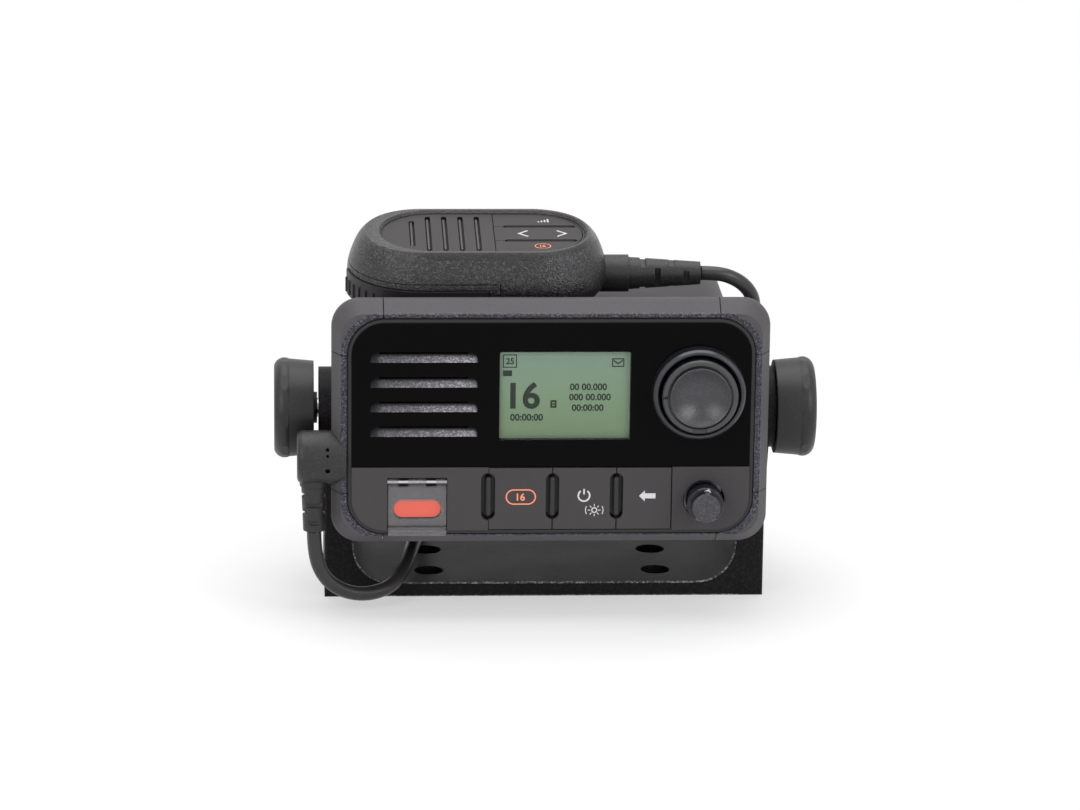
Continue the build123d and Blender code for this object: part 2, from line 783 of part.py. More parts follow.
# ================================================================ housing: knobs on the front
# The collar is pressed into the fascia; the knob turns and presses inside it.
def knob_plane(x, z):
    """Half-section plane through a front knob's axis: sketch x is the radius, sketch y points back."""
    return Plane(origin=(x, face_y, face_z + z), x_dir=(1, 0, 0), z_dir=(0, 0, 1))


def forward_axis(x, z):
    """The axis of a front knob or of its shaft."""
    return Axis((x, face_y, face_z + z), (0, -1, 0))


collar_bore_r = main_knob_d / 2 + turn_gap
with BuildPart() as knob_collar:
    with BuildSketch(knob_plane(collar_x, collar_z)):
        with BuildLine():
            Polyline(
                (collar_bore_r, fascia_thickness),
                (collar_hole_d / 2, fascia_thickness),
                (collar_hole_d / 2, 0),
                (collar_d / 2, 0),
                (collar_d / 2 - 0.5, -collar_proud + 1),
                (collar_d / 2 - 1.4, -collar_proud),
                (collar_d / 2 - 2.4, -collar_proud),
                (collar_bore_r, -collar_proud + 2.2),
                close=True,
            )
        make_face()
    revolve(axis=forward_axis(collar_x, collar_z))
knob_collar.part.label = "knob_collar"
export_step(knob_collar.part, "parts/knob_collar.step")

knob_foot = 0.6
flange_r = main_face_d / 2 + flange_groove
with BuildPart() as main_knob:
    with BuildSketch(knob_plane(collar_x, collar_z)):
        with BuildLine():
            Polyline(
                (shaft_d / 2, fascia_thickness - main_press - 1),
                (shaft_d / 2, -main_knob_proud + main_cap_thickness),
                (0, -main_knob_proud + main_cap_thickness),
                (0, -main_knob_proud),
                (main_face_d / 2 - 0.8, -main_knob_proud),
            )
            ThreePointArc(
                (main_face_d / 2 - 0.8, -main_knob_proud),
                (main_face_d / 2 - 0.2, -main_knob_proud + 0.25),
                (main_face_d / 2, -main_knob_proud + 0.9),
            )
            Polyline(
                (main_face_d / 2, -main_knob_proud + 0.9),
                (main_face_d / 2, -main_knob_proud + flange_groove_depth),
                (flange_r, -main_knob_proud + flange_groove_depth),
                (flange_r, -main_knob_proud + flange_drop),
                (main_knob_d / 2 - 0.6, -main_knob_proud + flange_drop),
                (main_knob_d / 2, -main_knob_proud + flange_drop + 0.6),
                (main_knob_d / 2, knob_foot),
                (main_knob_d / 2 - 2, knob_foot),
                (main_knob_d / 2 - 2, -main_knob_proud + flange_groove_depth + 2),
                (shaft_d / 2 + 2, -main_knob_proud + flange_groove_depth + 2),
                (shaft_d / 2 + 2, fascia_thickness - main_press - 1),
                (shaft_d / 2, fascia_thickness - main_press - 1),
            )
        make_face()
    revolve(axis=forward_axis(collar_x, collar_z))
    with BuildSketch(front_plane(face_y - main_knob_proud + flange_drop)):
        with Locations((collar_x - flange_r, collar_z)):
            Rectangle(main_knob_d, side_notch, align=(Align.MAX, Align.CENTER))
        with Locations((collar_x, collar_z - flange_r)):
            Rectangle(foot_notch, main_knob_d, align=(Align.CENTER, Align.MAX))
    extrude(amount=-notch_depth, mode=Mode.SUBTRACT)
main_knob.part.label = "main_knob"
export_step(main_knob.part, "parts/main_knob.step")

# The volume knob stands in a hole in the keypad strip. Its round face is set in from the skirt,
# and a slope joins the two at the foot.
volume_level = face_z + volume_z
ramp_root = volume_level - shaft_d / 2 - 1
ramp_foot = volume_level - volume_knob_d / 2 + 1.1
with BuildPart() as volume_ramp:
    with BuildSketch(Plane.YZ.offset(volume_x)):
        with BuildLine():
            Polyline(
                (face_y - volume_proud, ramp_root),
                (face_y - volume_proud, volume_level - volume_face_d / 2 + 1.4),
                (face_y - volume_shoulder, ramp_foot),
                (face_y - volume_shoulder + 1, ramp_foot),
                (face_y - volume_shoulder + 1, ramp_root),
                close=True,
            )
        make_face()
    extrude(amount=volume_ramp_width / 2, both=True)
    with BuildSketch(front_plane(face_y)):
        with Locations((volume_x, volume_z)):
            Circle(volume_knob_d / 2 - 0.8)
    extrude(amount=volume_proud, mode=Mode.INTERSECT)

with BuildPart() as volume_knob:
    with BuildSketch(knob_plane(volume_x, volume_z)):
        with BuildLine():
            Polyline(
                (shaft_d / 2, keypad_thickness - volume_press - 1),
                (shaft_d / 2, -volume_proud + volume_cap_thickness),
                (0, -volume_proud + volume_cap_thickness),
                (0, -volume_proud),
                (volume_face_d / 2 - 0.5, -volume_proud),
                (volume_face_d / 2, -volume_proud + 0.5),
                (volume_face_d / 2, -volume_shoulder),
                (volume_knob_d / 2 - 0.6, -volume_shoulder),
                (volume_knob_d / 2, -volume_shoulder + 0.6),
                (volume_knob_d / 2, knob_foot),
                (shaft_d / 2 + 2, knob_foot),
                (shaft_d / 2 + 2, keypad_thickness - volume_press - 1),
                (shaft_d / 2, keypad_thickness - volume_press - 1),
            )
        make_face()
    revolve(axis=forward_axis(volume_x, volume_z))
    add(volume_ramp.part)
volume_knob.part.label = "volume_knob"
export_step(volume_knob.part, "parts/volume_knob.step")

# Behind each knob: a shaft that slides in a rotor, the rotor turning in a switch on the board.
encoders = {
    "main": (collar_x, collar_z, main_press, main_cap_thickness - main_knob_proud),
    "volume": (volume_x, volume_z, volume_press, volume_cap_thickness - volume_proud),
}
for name, (x, z, press, shaft_tip) in encoders.items():
    with BuildPart() as shaft:
        with BuildSketch(front_plane(face_y + shaft_tip)):
            with Locations((x, z)):
                Circle(shaft_d / 2)
        extrude(amount=-(board_y - press - 0.3 - face_y - shaft_tip))
    shaft.part.label = f"{name}_shaft"
    export_step(shaft.part, f"parts/{name}_shaft.step")

    with BuildPart() as rotor:
        with BuildSketch(front_plane(rotor_y)):
            with Locations((x, z)):
                Circle(rotor_d / 2)
                Circle(shaft_d / 2 + shaft_fit, mode=Mode.SUBTRACT)
        extrude(amount=-(board_y - 0.3 - rotor_y))
    rotor.part.label = f"{name}_rotor"
    export_step(rotor.part, f"parts/{name}_rotor.step")

    with BuildPart() as encoder:
        with BuildSketch(front_plane(rotor_y + 1)):
            with Locations((x, z)):
                Rectangle(encoder_side, encoder_side)
                Circle(rotor_d / 2 + shaft_fit, mode=Mode.SUBTRACT)
        extrude(amount=-(board_y - rotor_y - 1))
        chamfer(encoder.edges().filter_by(Axis.Y).filter_by(GeomType.LINE), 1.0)
    encoder.part.label = f"{name}_encoder"
    export_step(encoder.part, f"parts/{name}_encoder.step")

# ================================================================ housing: boards and speaker
with BuildPart() as front_board:
    with BuildSketch(front_plane(board_y)):
        with Locations((0, -case_drop)):
            RectangleRounded(case_inside[0] - 2 * board_gap, case_inside[1] - 2 * board_gap, case_corner_r)
        with Locations((scoop_x, speaker_z)):
            Circle(magnet_d / 2 + 1, mode=Mode.SUBTRACT)
    extrude(amount=-board_thickness)
front_board.part.label = "front_board"
export_step(front_board.part, "parts/front_board.step")

with BuildPart() as speaker:
    with BuildSketch(Plane(origin=(scoop_x, seat_y, face_z + speaker_z), x_dir=(1, 0, 0), z_dir=(0, 0, 1))):
        with BuildLine():
            Polyline(
                (0, 6.5),
                (speaker_d / 2 - 5, 0.8),
                (speaker_d / 2 - 3.5, 0),
                (speaker_d / 2, 0),
                (speaker_d / 2, 3),
                (magnet_d / 2 + 2, 7.5),
                (magnet_d / 2, 7.5),
                (magnet_d / 2, magnet_depth),
                (0, magnet_depth),
                close=True,
            )
        make_face()
    revolve(axis=Axis((scoop_x, seat_y, face_z + speaker_z), (0, 1, 0)))
speaker.part.label = "speaker"
export_step(speaker.part, "parts/speaker.step")

# ================================================================ housing: case and heat sink
case_front = bezel_back + gasket_thickness
radio_board_depth = case_back - case_front - 2 * board_end_gap
with BuildPart() as case_gasket:
    with BuildSketch(front_plane(bezel_back)):
        with Locations((0, -case_drop)):
            RectangleRounded(case_width - 1, case_height - 1, case_corner_r - 0.5)
            RectangleRounded(*case_inside, case_corner_r - case_wall, mode=Mode.SUBTRACT)
    extrude(amount=-gasket_thickness)
case_gasket.part.label = "case_gasket"
export_step(case_gasket.part, "parts/case_gasket.step")

with BuildPart() as rear_case:
    with BuildSketch(front_plane(case_front)):
        with Locations((0, -case_drop)):
            RectangleRounded(case_width, case_height, case_corner_r)
            RectangleRounded(*case_inside, case_corner_r - case_wall, mode=Mode.SUBTRACT)
    extrude(amount=-(case_back - case_front))
    for side in sides.values():
        with BuildSketch(side_plane(side * pad_face, pivot_y, pivot_z)):
            Circle(boss_d / 2 - 1)
        extrude(amount=-side * (pad_face - case_inside[0] / 2))
        with BuildSketch(side_plane(side * pad_face, pivot_y, pivot_z)):
            Circle(insert_d / 2 + 3)
        extrude(amount=-side * insert_length)
        with BuildSketch(side_plane(side * pad_face, pivot_y, pivot_z)):
            Circle(insert_d / 2)
        extrude(amount=-side * insert_length, mode=Mode.SUBTRACT)
        with BuildSketch(Plane.XZ.offset(-case_front - rail_front_gap)):
            with Locations((side * case_inside[0] / 2, board_z - rail_height)):
                Rectangle(
                    rail_width,
                    rail_height,
                    align=(Align.MAX if side > 0 else Align.MIN, Align.MIN),
                )
        extrude(amount=-(radio_board_depth + board_end_gap))
    with BuildSketch(front_plane(case_back)):
        with Locations((0, -case_drop)):
            with GridLocations(screw_pitch_x, screw_pitch_z, 2, 2):
                Circle(screw_post_d / 2)
            RectangleRounded(
                case_width - case_wall,
                case_height - case_wall,
                case_corner_r,
                mode=Mode.INTERSECT,
            )
    extrude(amount=screw_length)
    with BuildSketch(front_plane(case_back)):
        with Locations((0, -case_drop)):
            with GridLocations(screw_pitch_x, screw_pitch_z, 2, 2):
                Circle(screw_d / 2)
    extrude(amount=screw_length, mode=Mode.SUBTRACT)
    for level in rib_levels:
        for side in sides.values():
            with BuildSketch(side_plane(side * case_width / 2, case_front + rib_start, case_z + level)):
                SlotOverall(
                    case_back - case_front - rib_start - rib_end,
                    rib_height,
                    align=(Align.MIN, Align.CENTER),
                )
            extrude(amount=side * rib_proud)
rear_case.part.label = "rear_case"
export_step(rear_case.part, "parts/rear_case.step")

with BuildPart() as pivot_inserts:
    for side in sides.values():
        with BuildSketch(side_plane(side * pad_face, pivot_y, pivot_z)):
            Circle(insert_d / 2)
            Circle(stud_d / 2 + shaft_fit, mode=Mode.SUBTRACT)
        extrude(amount=-side * insert_length)
pivot_inserts.part.label = "pivot_inserts"
export_step(pivot_inserts.part, "parts/pivot_inserts.step")

with BuildPart() as radio_board:
    with BuildSketch(Plane.XY.offset(board_z)):
        with Locations((0, case_front + board_end_gap)):
            Rectangle(
                case_inside[0] - 2 * board_gap,
                radio_board_depth,
                align=(Align.CENTER, Align.MIN),
            )
    extrude(amount=board_thickness)
    with BuildSketch(Plane.XY.offset(board_z + board_thickness)):
        with Locations((shield_x, case_front + board_end_gap + radio_board_depth / 2)):
            Rectangle(shield_width, shield_depth)
    extrude(amount=shield_height)
    fillet(radio_board.edges().filter_by(Axis.Z).group_by(Axis.Z)[-1], 1.5)
radio_board.part.label = "radio_board"
export_step(radio_board.part, "parts/radio_board.step")

# Cast heat sink that closes the case: a plate with upright fins beside the sockets.
sink_back = case_back + sink_plate
with BuildPart() as heat_sink:
    with BuildSketch(front_plane(case_back)):
        with Locations((0, -case_drop)):
            RectangleRounded(case_width, case_height, case_corner_r)
            with GridLocations(screw_pitch_x, screw_pitch_z, 2, 2):
                Circle(screw_d / 2, mode=Mode.SUBTRACT)
    extrude(amount=-sink_plate)
    with BuildSketch(front_plane(sink_back)):
        for i in range(fin_count):
            with Locations((fin_start + i * fin_pitch, -case_drop)):
                Rectangle(fin_thickness, fin_height)
    extrude(amount=-fin_depth)
    chamfer(heat_sink.faces().sort_by(Axis.Y)[-1].edges().filter_by(Axis.X), 0.6)
heat_sink.part.label = "heat_sink"
export_step(heat_sink.part, "parts/heat_sink.step")

with BuildPart() as case_screws:
    with BuildSketch(front_plane(sink_back)):
        with Locations((0, -case_drop)):
            with GridLocations(screw_pitch_x, screw_pitch_z, 2, 2):
                Circle(screw_d / 2)
    extrude(amount=sink_plate + screw_length - 1)
    with BuildSketch(front_plane(sink_back)):
        with Locations((0, -case_drop)):
            with GridLocations(screw_pitch_x, screw_pitch_z, 2, 2):
                Circle(screw_d)
    extrude(amount=-screw_d * 0.6)
    fillet(case_screws.faces().sort_by(Axis.Y)[-4:].edges(), 0.7)
case_screws.part.label = "case_screws"
export_step(case_screws.part, "parts/case_screws.step")

# Rear sockets: the antenna's threaded barrel, then round inlets for power and data.
rear_sockets = {
    "antenna_socket": (antenna_z, antenna_d, antenna_length, antenna_bore_d),
    "power_inlet": (power_z, 16.0, 9.0, 12.0),
    "data_inlet": (data_z, 12.0, 7.0, 8.4),
}
for name, (level, outer, length, bore) in rear_sockets.items():
    with BuildPart() as socket:
        with BuildSketch(Plane(origin=(socket_x, sink_back, level), x_dir=(1, 0, 0), z_dir=(0, 0, 1))):
            with BuildLine():
                Polyline(
                    (0, 0),
                    (outer / 2 + 2.5, 0),
                    (outer / 2 + 2.5, 1.6),
                    (outer / 2, 2.2),
                    (outer / 2, length),
                    (bore / 2, length),
                    (bore / 2, 2.0),
                    (bore / 5, 2.0),
                    (bore / 5, length - 1.5),
                    (0, length - 1.5),
                    close=True,
                )
            make_face()
        revolve(axis=Axis((socket_x, sink_back, level), (0, 1, 0)))
    socket.part.label = name
    export_step(socket.part, f"parts/{name}.step")

# ================================================================ microphone plug
# Round moulded elbow whose inner end follows the frame's sloping side.
plug_x = -bezel_width / 2 - plug_length + 1.3
relief_x = plug_x + 7
relief_top = plug_z - plug_d / 2 - 1.0
with BuildPart() as mic_plug:
    with BuildSketch(side_plane(plug_x, plug_y, plug_z)):
        Circle(plug_d / 2)
    extrude(amount=plug_length + 5)
    fillet(mic_plug.edges().sort_by(Axis.X)[0], 2.6)
    with BuildSketch(Plane.XY.offset(relief_top)):
        with Locations((relief_x, plug_y)):
            Circle(relief_d / 2 + 0.6)
    extrude(amount=plug_d / 2)
    add(frame_form.part, mode=Mode.SUBTRACT)
    with BuildSketch(side_plane(-bezel_width / 2, plug_y, plug_z)):
        Circle(spigot_d / 2)
    extrude(amount=spigot_length + 2)
    with BuildSketch(front_plane(plug_y - plug_d / 2)):
        for rise, diameter in plug_holes:
            with Locations((plug_x + plug_hole_inset, plug_z + rise - face_z)):
                Circle(diameter / 2)
    extrude(amount=-plug_hole_depth, mode=Mode.SUBTRACT)
mic_plug.part.label = "mic_plug"
export_step(mic_plug.part, "parts/mic_plug.step")

with BuildPart() as mic_socket:
    with BuildSketch(side_plane(-bezel_width / 2 + 1, plug_y, plug_z)):
        Circle(socket_d / 2)
    extrude(amount=socket_length - 1)
    with BuildSketch(side_plane(-bezel_width / 2, plug_y, plug_z)):
        Circle(spigot_d / 2)
    extrude(amount=spigot_length + 2, mode=Mode.SUBTRACT)
    add(mic_plug.part, mode=Mode.SUBTRACT)
mic_socket.part.label = "mic_socket"
export_step(mic_socket.part, "parts/mic_socket.step")


def notch_places(length, count):
    """Where the paired notches of a strain relief stand along it, and their quarter turns."""
    return [(length * (i + 1) / (count + 1), 90 * (i % 2)) for i in range(count)]


with BuildPart(Plane.XY.offset(relief_top)) as plug_relief:
    with Locations(Location((relief_x, plug_y, 0), (180, 0, 0))):
        Cone(relief_d / 2, relief_tip_d / 2, relief_length, align=(Align.CENTER, Align.CENTER, Align.MIN))
    for drop, turn in notch_places(relief_length, 4):
        for side in (-1, 1):
            with Locations(Location((relief_x, plug_y, -drop), (0, 0, turn))):
                with Locations((side * relief_d / 2, 0, 0)):
                    Box(3.2, relief_d, notch_width, mode=Mode.SUBTRACT)
plug_relief.part.label = "plug_relief"
export_step(plug_relief.part, "parts/plug_relief.step")

# ================================================================ fist microphone
# Built on its own tilted plane: local x runs towards the cord, local z out of its face.
mic_base = case_top + mic_rest_gap + mic_foot_depth / 2 * sin(radians(mic_lean))
mic_plane = Plane(
    origin=(mic_x, mic_y, mic_base),
    x_dir=(1, 0, 0),
    z_dir=(0, -sin(radians(mic_lean)), cos(radians(mic_lean))),
)
mic_sections = [  # height, and how far the outline is inside the widest one at the ends and sides
    (0.0, 5.75, mic_foot_inset),
    (4.0, 1.8, 2.0),
    (mic_seam, 0.0, 0.0),
    (14.0, 0.4, 0.4),
    (21.0, 2.75, 2.75),
    (mic_height, 7.25, 6.0),
]
with BuildPart() as mic_form:
    for level, end_inset, side_inset in mic_sections:
        with BuildSketch(mic_plane.offset(level)):
            RectangleRounded(
                mic_length - 2 * end_inset,
                mic_depth - 2 * side_inset,
                mic_depth / 2 - side_inset - mic_corner_ease,
            )
    loft()

panel_z = mic_height - mic_panel_sink
panel_floor = panel_z - mic_panel_thickness
talk_sink = talk_travel + mic_rest_gap
with BuildPart() as talk_pocket:
    with BuildSketch(mic_plane.offset(talk_bottom - mic_rest_gap)):
        RectangleRounded(mic_length + 6, mic_depth + 6, mic_depth / 2 + 2.5)
        RectangleRounded(
            mic_length - 2 * (talk_thickness + talk_sink),
            mic_depth - 2 * (talk_thickness + talk_sink),
            mic_depth / 2 - talk_thickness - talk_sink - 1,
            mode=Mode.SUBTRACT,
        )
        with Locations((talk_end_x + mic_rest_gap, talk_end_y + talk_sink)):
            Rectangle(mic_length, mic_depth, align=(Align.MAX, Align.MAX), mode=Mode.INTERSECT)
    extrude(amount=talk_top - talk_bottom + 2 * mic_rest_gap)

with BuildPart() as mic_cavity:
    with BuildSketch(mic_plane.offset(mic_wall)):
        RectangleRounded(mic_cavity_length, mic_cavity_depth, mic_cavity_depth / 2 - 1)
    extrude(amount=panel_floor - mic_wall - 2)
    relief_seat = mic_plane.from_local_coords((mic_relief_x, 0, mic_relief_z))
    with BuildSketch(side_plane(relief_seat.X, relief_seat.Y, relief_seat.Z)):
        Circle(mic_relief_d / 2)
    extrude(amount=mic_length / 2)

with BuildPart() as mic_rear_shell:
    add(mic_form.part)
    with BuildSketch(mic_plane.offset(mic_seam)):
        Rectangle(mic_length + 10, mic_depth + 10)
    extrude(amount=-mic_seam - 1, mode=Mode.INTERSECT)
    add(talk_pocket.part, mode=Mode.SUBTRACT)
    add(mic_cavity.part, mode=Mode.SUBTRACT)
    with BuildSketch(mic_plane):
        with GridLocations(mic_screw_pitch_x, mic_screw_pitch_y, 2, 2):
            Circle(mic_screw_d)
    extrude(amount=mic_screw_d * 0.6, mode=Mode.SUBTRACT)
mic_rear_shell.part.label = "mic_rear_shell"
export_step(mic_rear_shell.part, "parts/mic_rear_shell.step")

# The parting line runs above the talk button, then steps down to the seam beside it.
seam_level = talk_top + mic_seam_rise
seam_x = talk_end_x + mic_seam_step
with BuildPart() as seam_groove:
    for level, height, width in (
        (seam_level, mic_seam_width, mic_length),
        (mic_seam, seam_level - mic_seam, mic_seam_width),
    ):
        with BuildSketch(mic_plane.offset(level)):
            RectangleRounded(mic_length + 4, mic_depth + 4, mic_depth / 2)
            RectangleRounded(
                mic_length - 2 * mic_seam_depth - 1,
                mic_depth - 2 * mic_seam_depth - 1,
                mic_depth / 2 - mic_seam_depth - 0.5 - mic_corner_ease,
                mode=Mode.SUBTRACT,
            )
            with Locations((seam_x, 0)):
                Rectangle(width, mic_depth, align=(Align.MAX, Align.MAX), mode=Mode.INTERSECT)
        extrude(amount=height)

with BuildPart() as mic_front_shell:
    add(mic_form.part)
    with BuildSketch(mic_plane.offset(mic_seam)):
        Rectangle(mic_length + 10, mic_depth + 10)
    extrude(amount=mic_height, mode=Mode.INTERSECT)
    add(talk_pocket.part, mode=Mode.SUBTRACT)
    add(mic_cavity.part, mode=Mode.SUBTRACT)
    with BuildSketch(mic_plane.offset(mic_height)):
        with Locations((mic_panel_x, 0)):
            RectangleRounded(mic_panel_length, mic_panel_depth, mic_panel_depth / 2 - 1)
    extrude(amount=-(mic_height - panel_floor), mode=Mode.SUBTRACT)
    shell_top = mic_front_shell.faces().sort_by(Axis(mic_plane.origin, mic_plane.z_dir))[-1]
    chamfer(shell_top.inner_wires()[0].edges(), mic_rim_chamfer)
    add(seam_groove.part, mode=Mode.SUBTRACT)
mic_front_shell.part.label = "mic_front_shell"
export_step(mic_front_shell.part, "parts/mic_front_shell.step")

# Panel: sound slots on one half, a pocket for the three keys on the other.
key_pocket = mic_key_thickness + mic_key_travel + 0.1
with BuildPart() as mic_panel:
    with BuildSketch(mic_plane.offset(panel_floor)):
        with Locations((mic_panel_x, 0)):
            RectangleRounded(mic_panel_length, mic_panel_depth, mic_panel_depth / 2 - 1)
    extrude(amount=mic_panel_thickness)
    with BuildSketch(mic_plane.offset(panel_z)):
        for i in range(mic_slot_count):
            with Locations((mic_slot_start + i * mic_slot_pitch, 0)):
                slot_length = mic_panel_depth - 6 - (10 if i == 0 else 0)
                SlotOverall(slot_length, mic_slot_width, rotation=90)
    extrude(amount=-1.4, mode=Mode.SUBTRACT)
    with BuildSketch(mic_plane.offset(panel_z)):
        for i in range(mic_slot_count):
            slot_length = mic_panel_depth - 6 - (10 if i == 0 else 0)
            with Locations((mic_slot_start + i * mic_slot_pitch, (mic_slot_width - slot_length) / 2)):
                Circle(mic_slot_width / 2 - 0.2)
    extrude(amount=-mic_panel_thickness + 0.6, mode=Mode.SUBTRACT)
    with BuildSketch(mic_plane.offset(panel_z)):
        with Locations((mic_panel_x, 0)):
            RectangleRounded(mic_panel_length - 1.6, mic_panel_depth - 1.6, mic_panel_depth / 2 - 1.8)
        with Locations((mic_key_split_x, 0)):
            Rectangle(mic_length, mic_depth, align=(Align.MIN, Align.CENTER), mode=Mode.INTERSECT)
    extrude(amount=-key_pocket, mode=Mode.SUBTRACT)
    with BuildSketch(mic_plane.offset(panel_z - key_pocket)):
        for side in (-1, 1):
            with Locations((mic_groove_x, side * mic_groove_y)):
                SlotOverall(mic_groove_length - 1.6, mic_groove_width - 1.4)
    extrude(amount=key_pocket - 0.2)
mic_panel.part.label = "mic_panel"
export_step(mic_panel.part, "parts/mic_panel.step")

mic_keys = {
    "mic_key_sixteen": (-mic_depth, -mic_groove_y - key_gap / 2),
    "mic_rocker": (-mic_groove_y + key_gap / 2, mic_groove_y - key_gap / 2),
    "mic_key_power": (mic_groove_y + key_gap / 2, mic_depth),
}
for name, (near, far) in mic_keys.items():
    with BuildPart() as key:
        with BuildSketch(mic_plane.offset(panel_z)):
            with Locations((mic_panel_x, 0)):
                RectangleRounded(
                    mic_panel_length - 1.6 - 2 * mic_rest_gap,
                    mic_panel_depth - 1.6 - 2 * mic_rest_gap,
                    mic_panel_depth / 2 - 1.8 - mic_rest_gap,
                )
            with Locations((mic_key_split_x + mic_rest_gap, near)):
                Rectangle(mic_length, far - near, align=(Align.MIN, Align.MIN), mode=Mode.INTERSECT)
            for side in (-1, 1):
                with Locations((mic_groove_x, side * mic_groove_y)):
                    SlotOverall(mic_groove_length, mic_groove_width, mode=Mode.SUBTRACT)
        extrude(amount=-mic_key_thickness)
    key.part.label = name
    export_step(key.part, f"parts/{name}.step")

# Talk button: a band round the left end and the near side, ribbed for the fingers.
talk_arc_r = mic_depth / 2 + talk_proud - talk_end_flat
talk_arc_x = mic_length / 2 + talk_proud - talk_arc_r
talk_straight_count = int((talk_end_x - talk_rib_margin + talk_arc_x) / talk_rib_pitch) + 1
with BuildPart() as talk_button:
    with BuildSketch(mic_plane.offset(talk_bottom)):
        RectangleRounded(
            mic_length + 2 * talk_proud,
            mic_depth + 2 * talk_proud,
            talk_arc_r,
        )
        RectangleRounded(
            mic_length - 2 * talk_thickness,
            mic_depth - 2 * talk_thickness,
            mic_depth / 2 - talk_thickness - 1,
            mode=Mode.SUBTRACT,
        )
        with Locations((talk_end_x, talk_end_y)):
            Rectangle(mic_length, mic_depth, align=(Align.MAX, Align.MAX), mode=Mode.INTERSECT)
    extrude(amount=talk_top - talk_bottom)
    with BuildSketch(mic_plane.offset(talk_bottom + talk_rib_rise)):
        with Locations((-talk_arc_x, -talk_end_flat)):
            with PolarLocations(
                talk_arc_r,
                talk_rib_count,
                start_angle=270 - talk_rib_count * talk_rib_step,
                angular_range=talk_rib_count * talk_rib_step,
            ):
                Circle(talk_rib_d / 2)
        for i in range(talk_straight_count):
            with Locations((-talk_arc_x + i * talk_rib_pitch, -talk_end_flat - talk_arc_r)):
                Circle(talk_rib_d / 2)
    extrude(amount=talk_rib_height)
talk_button.part.label = "mic_talk_button"
export_step(talk_button.part, "parts/mic_talk_button.step")

stud_y = mic_base + (mic_stud_y - mic_stud_d / 2) * sin(radians(mic_lean))
mic_stud_height = (stud_y - case_top - mic_rest_gap) / cos(radians(mic_lean))
with BuildPart(mic_plane) as mic_stud:
    with Locations((mic_stud_x, mic_stud_y, -mic_stud_height)):
        Cylinder(mic_stud_d / 2, 1.4, align=(Align.CENTER, Align.CENTER, Align.MIN))
        Cylinder(mic_stud_d * 0.3, mic_stud_height, align=(Align.CENTER, Align.CENTER, Align.MIN))
mic_stud.part.label = "mic_stud"
export_step(mic_stud.part, "parts/mic_stud.step")

with BuildPart(mic_plane) as mic_relief:
    with Locations(Location((mic_relief_x, 0, mic_relief_z), (0, 90, 0))):
        Cylinder(mic_relief_d / 2, mic_collar_length, align=(Align.CENTER, Align.CENTER, Align.MIN))
    with Locations(Location((mic_relief_x + mic_collar_length, 0, mic_relief_z), (0, 90, 0))):
        Cone(
            mic_relief_d / 2 - 1,
            mic_relief_tip_d / 2,
            mic_relief_length - mic_collar_length,
            align=(Align.CENTER, Align.CENTER, Align.MIN),
        )
    for reach, turn in notch_places(mic_relief_length - mic_collar_length, 4):
        notch_x = mic_relief_x + mic_collar_length + reach
        for side in (-1, 1):
            with Locations(Location((notch_x, 0, mic_relief_z), (turn, 0, 0))):
                with Locations((0, 0, side * mic_relief_d / 2 * 0.95)):
                    Box(notch_width * 1.3, mic_relief_d, mic_relief_d * 0.38, mode=Mode.SUBTRACT)
mic_relief.part.label = "mic_relief"
export_step(mic_relief.part, "parts/mic_relief.step")

with BuildPart() as mic_screws:
    with BuildSketch(mic_plane.offset(mic_screw_d * 0.6)):
        with GridLocations(mic_screw_pitch_x, mic_screw_pitch_y, 2, 2):
            Circle(mic_screw_d - 0.05)
    extrude(amount=-mic_screw_d * 0.5)
mic_screws.part.label = "mic_screws"
export_step(mic_screws.part, "parts/mic_screws.step")

with BuildPart(mic_plane) as mic_speaker:
    with Locations((mic_slot_start + 2 * mic_slot_pitch, 0, panel_floor - 2)):
        Cylinder(mic_speaker_d / 2, 3, align=(Align.CENTER, Align.CENTER, Align.MAX))
        Cylinder(mic_magnet_d / 2, 7, align=(Align.CENTER, Align.CENTER, Align.MAX))
mic_speaker.part.label = "mic_speaker"
export_step(mic_speaker.part, "parts/mic_speaker.step")

with BuildPart(mic_plane) as mic_board:
    with Locations((0, 0, mic_wall)):
        Box(
            mic_cavity_length - 2 * mic_board_end,
            mic_cavity_depth - 2 * mic_board_side,
            board_thickness,
            align=(Align.CENTER, Align.CENTER, Align.MIN),
        )
    with Locations((mic_can_x, 0, mic_wall + board_thickness)):
        Box(
            mic_can_length,
            mic_can_depth,
            mic_can_height,
            align=(Align.CENTER, Align.CENTER, Align.MIN),
        )
mic_board.part.label = "mic_board"
export_step(mic_board.part, "parts/mic_board.step")

# ================================================================ microphone cord
# One curly cord: a smooth tail from each strain relief, and the coiled stretch between them,
# which lies behind the radio as a tube of its outer diameter.
plug_exit_z = relief_top - relief_length
mic_exit = mic_plane.from_local_coords((mic_relief_x + mic_relief_length, 0, mic_relief_z))
plug_tail_points = [
    (relief_x, plug_y, plug_exit_z),
    (relief_x, plug_y, plug_exit_z - 10.5),
    (-92.5, -61, 17.0),
    (-84, -58, 10.2),
    (-74, -52.5, 7.4),
    (-64, -45, 8.6),
    (-58, -34.5, 14.4),
    (-54.7, -20, 19.4),
    (-51.8, -4, 21.4),
    (-50, 14, 19),
    (-49.5, 32, 13),
    (-52, 49, 6.5),
    (-58.5, 63, 3.4),
    (-67, 73.5, 3.0),
    (-71, 88, 3.0),
]
curl_points = [
    (-71, 88, 8.6),
    (-74.2, 99.6, 8.6),
    (-71.5, 112, 8.6),
    (-61.5, 120.5, 8.6),
    (-46, 125.5, 8.6),
    (-29.5, 128, 8.6),
    (-12, 128.5, 8.6),
    (5, 127.6, 8.6),
    (21.5, 125, 8.6),
    (37, 120.2, 8.6),
    (50.5, 113, 8.6),
    (60.5, 104.5, 8.6),
    (66.6, 95.9, 8.6),
    (71, 86, 8.6),
]
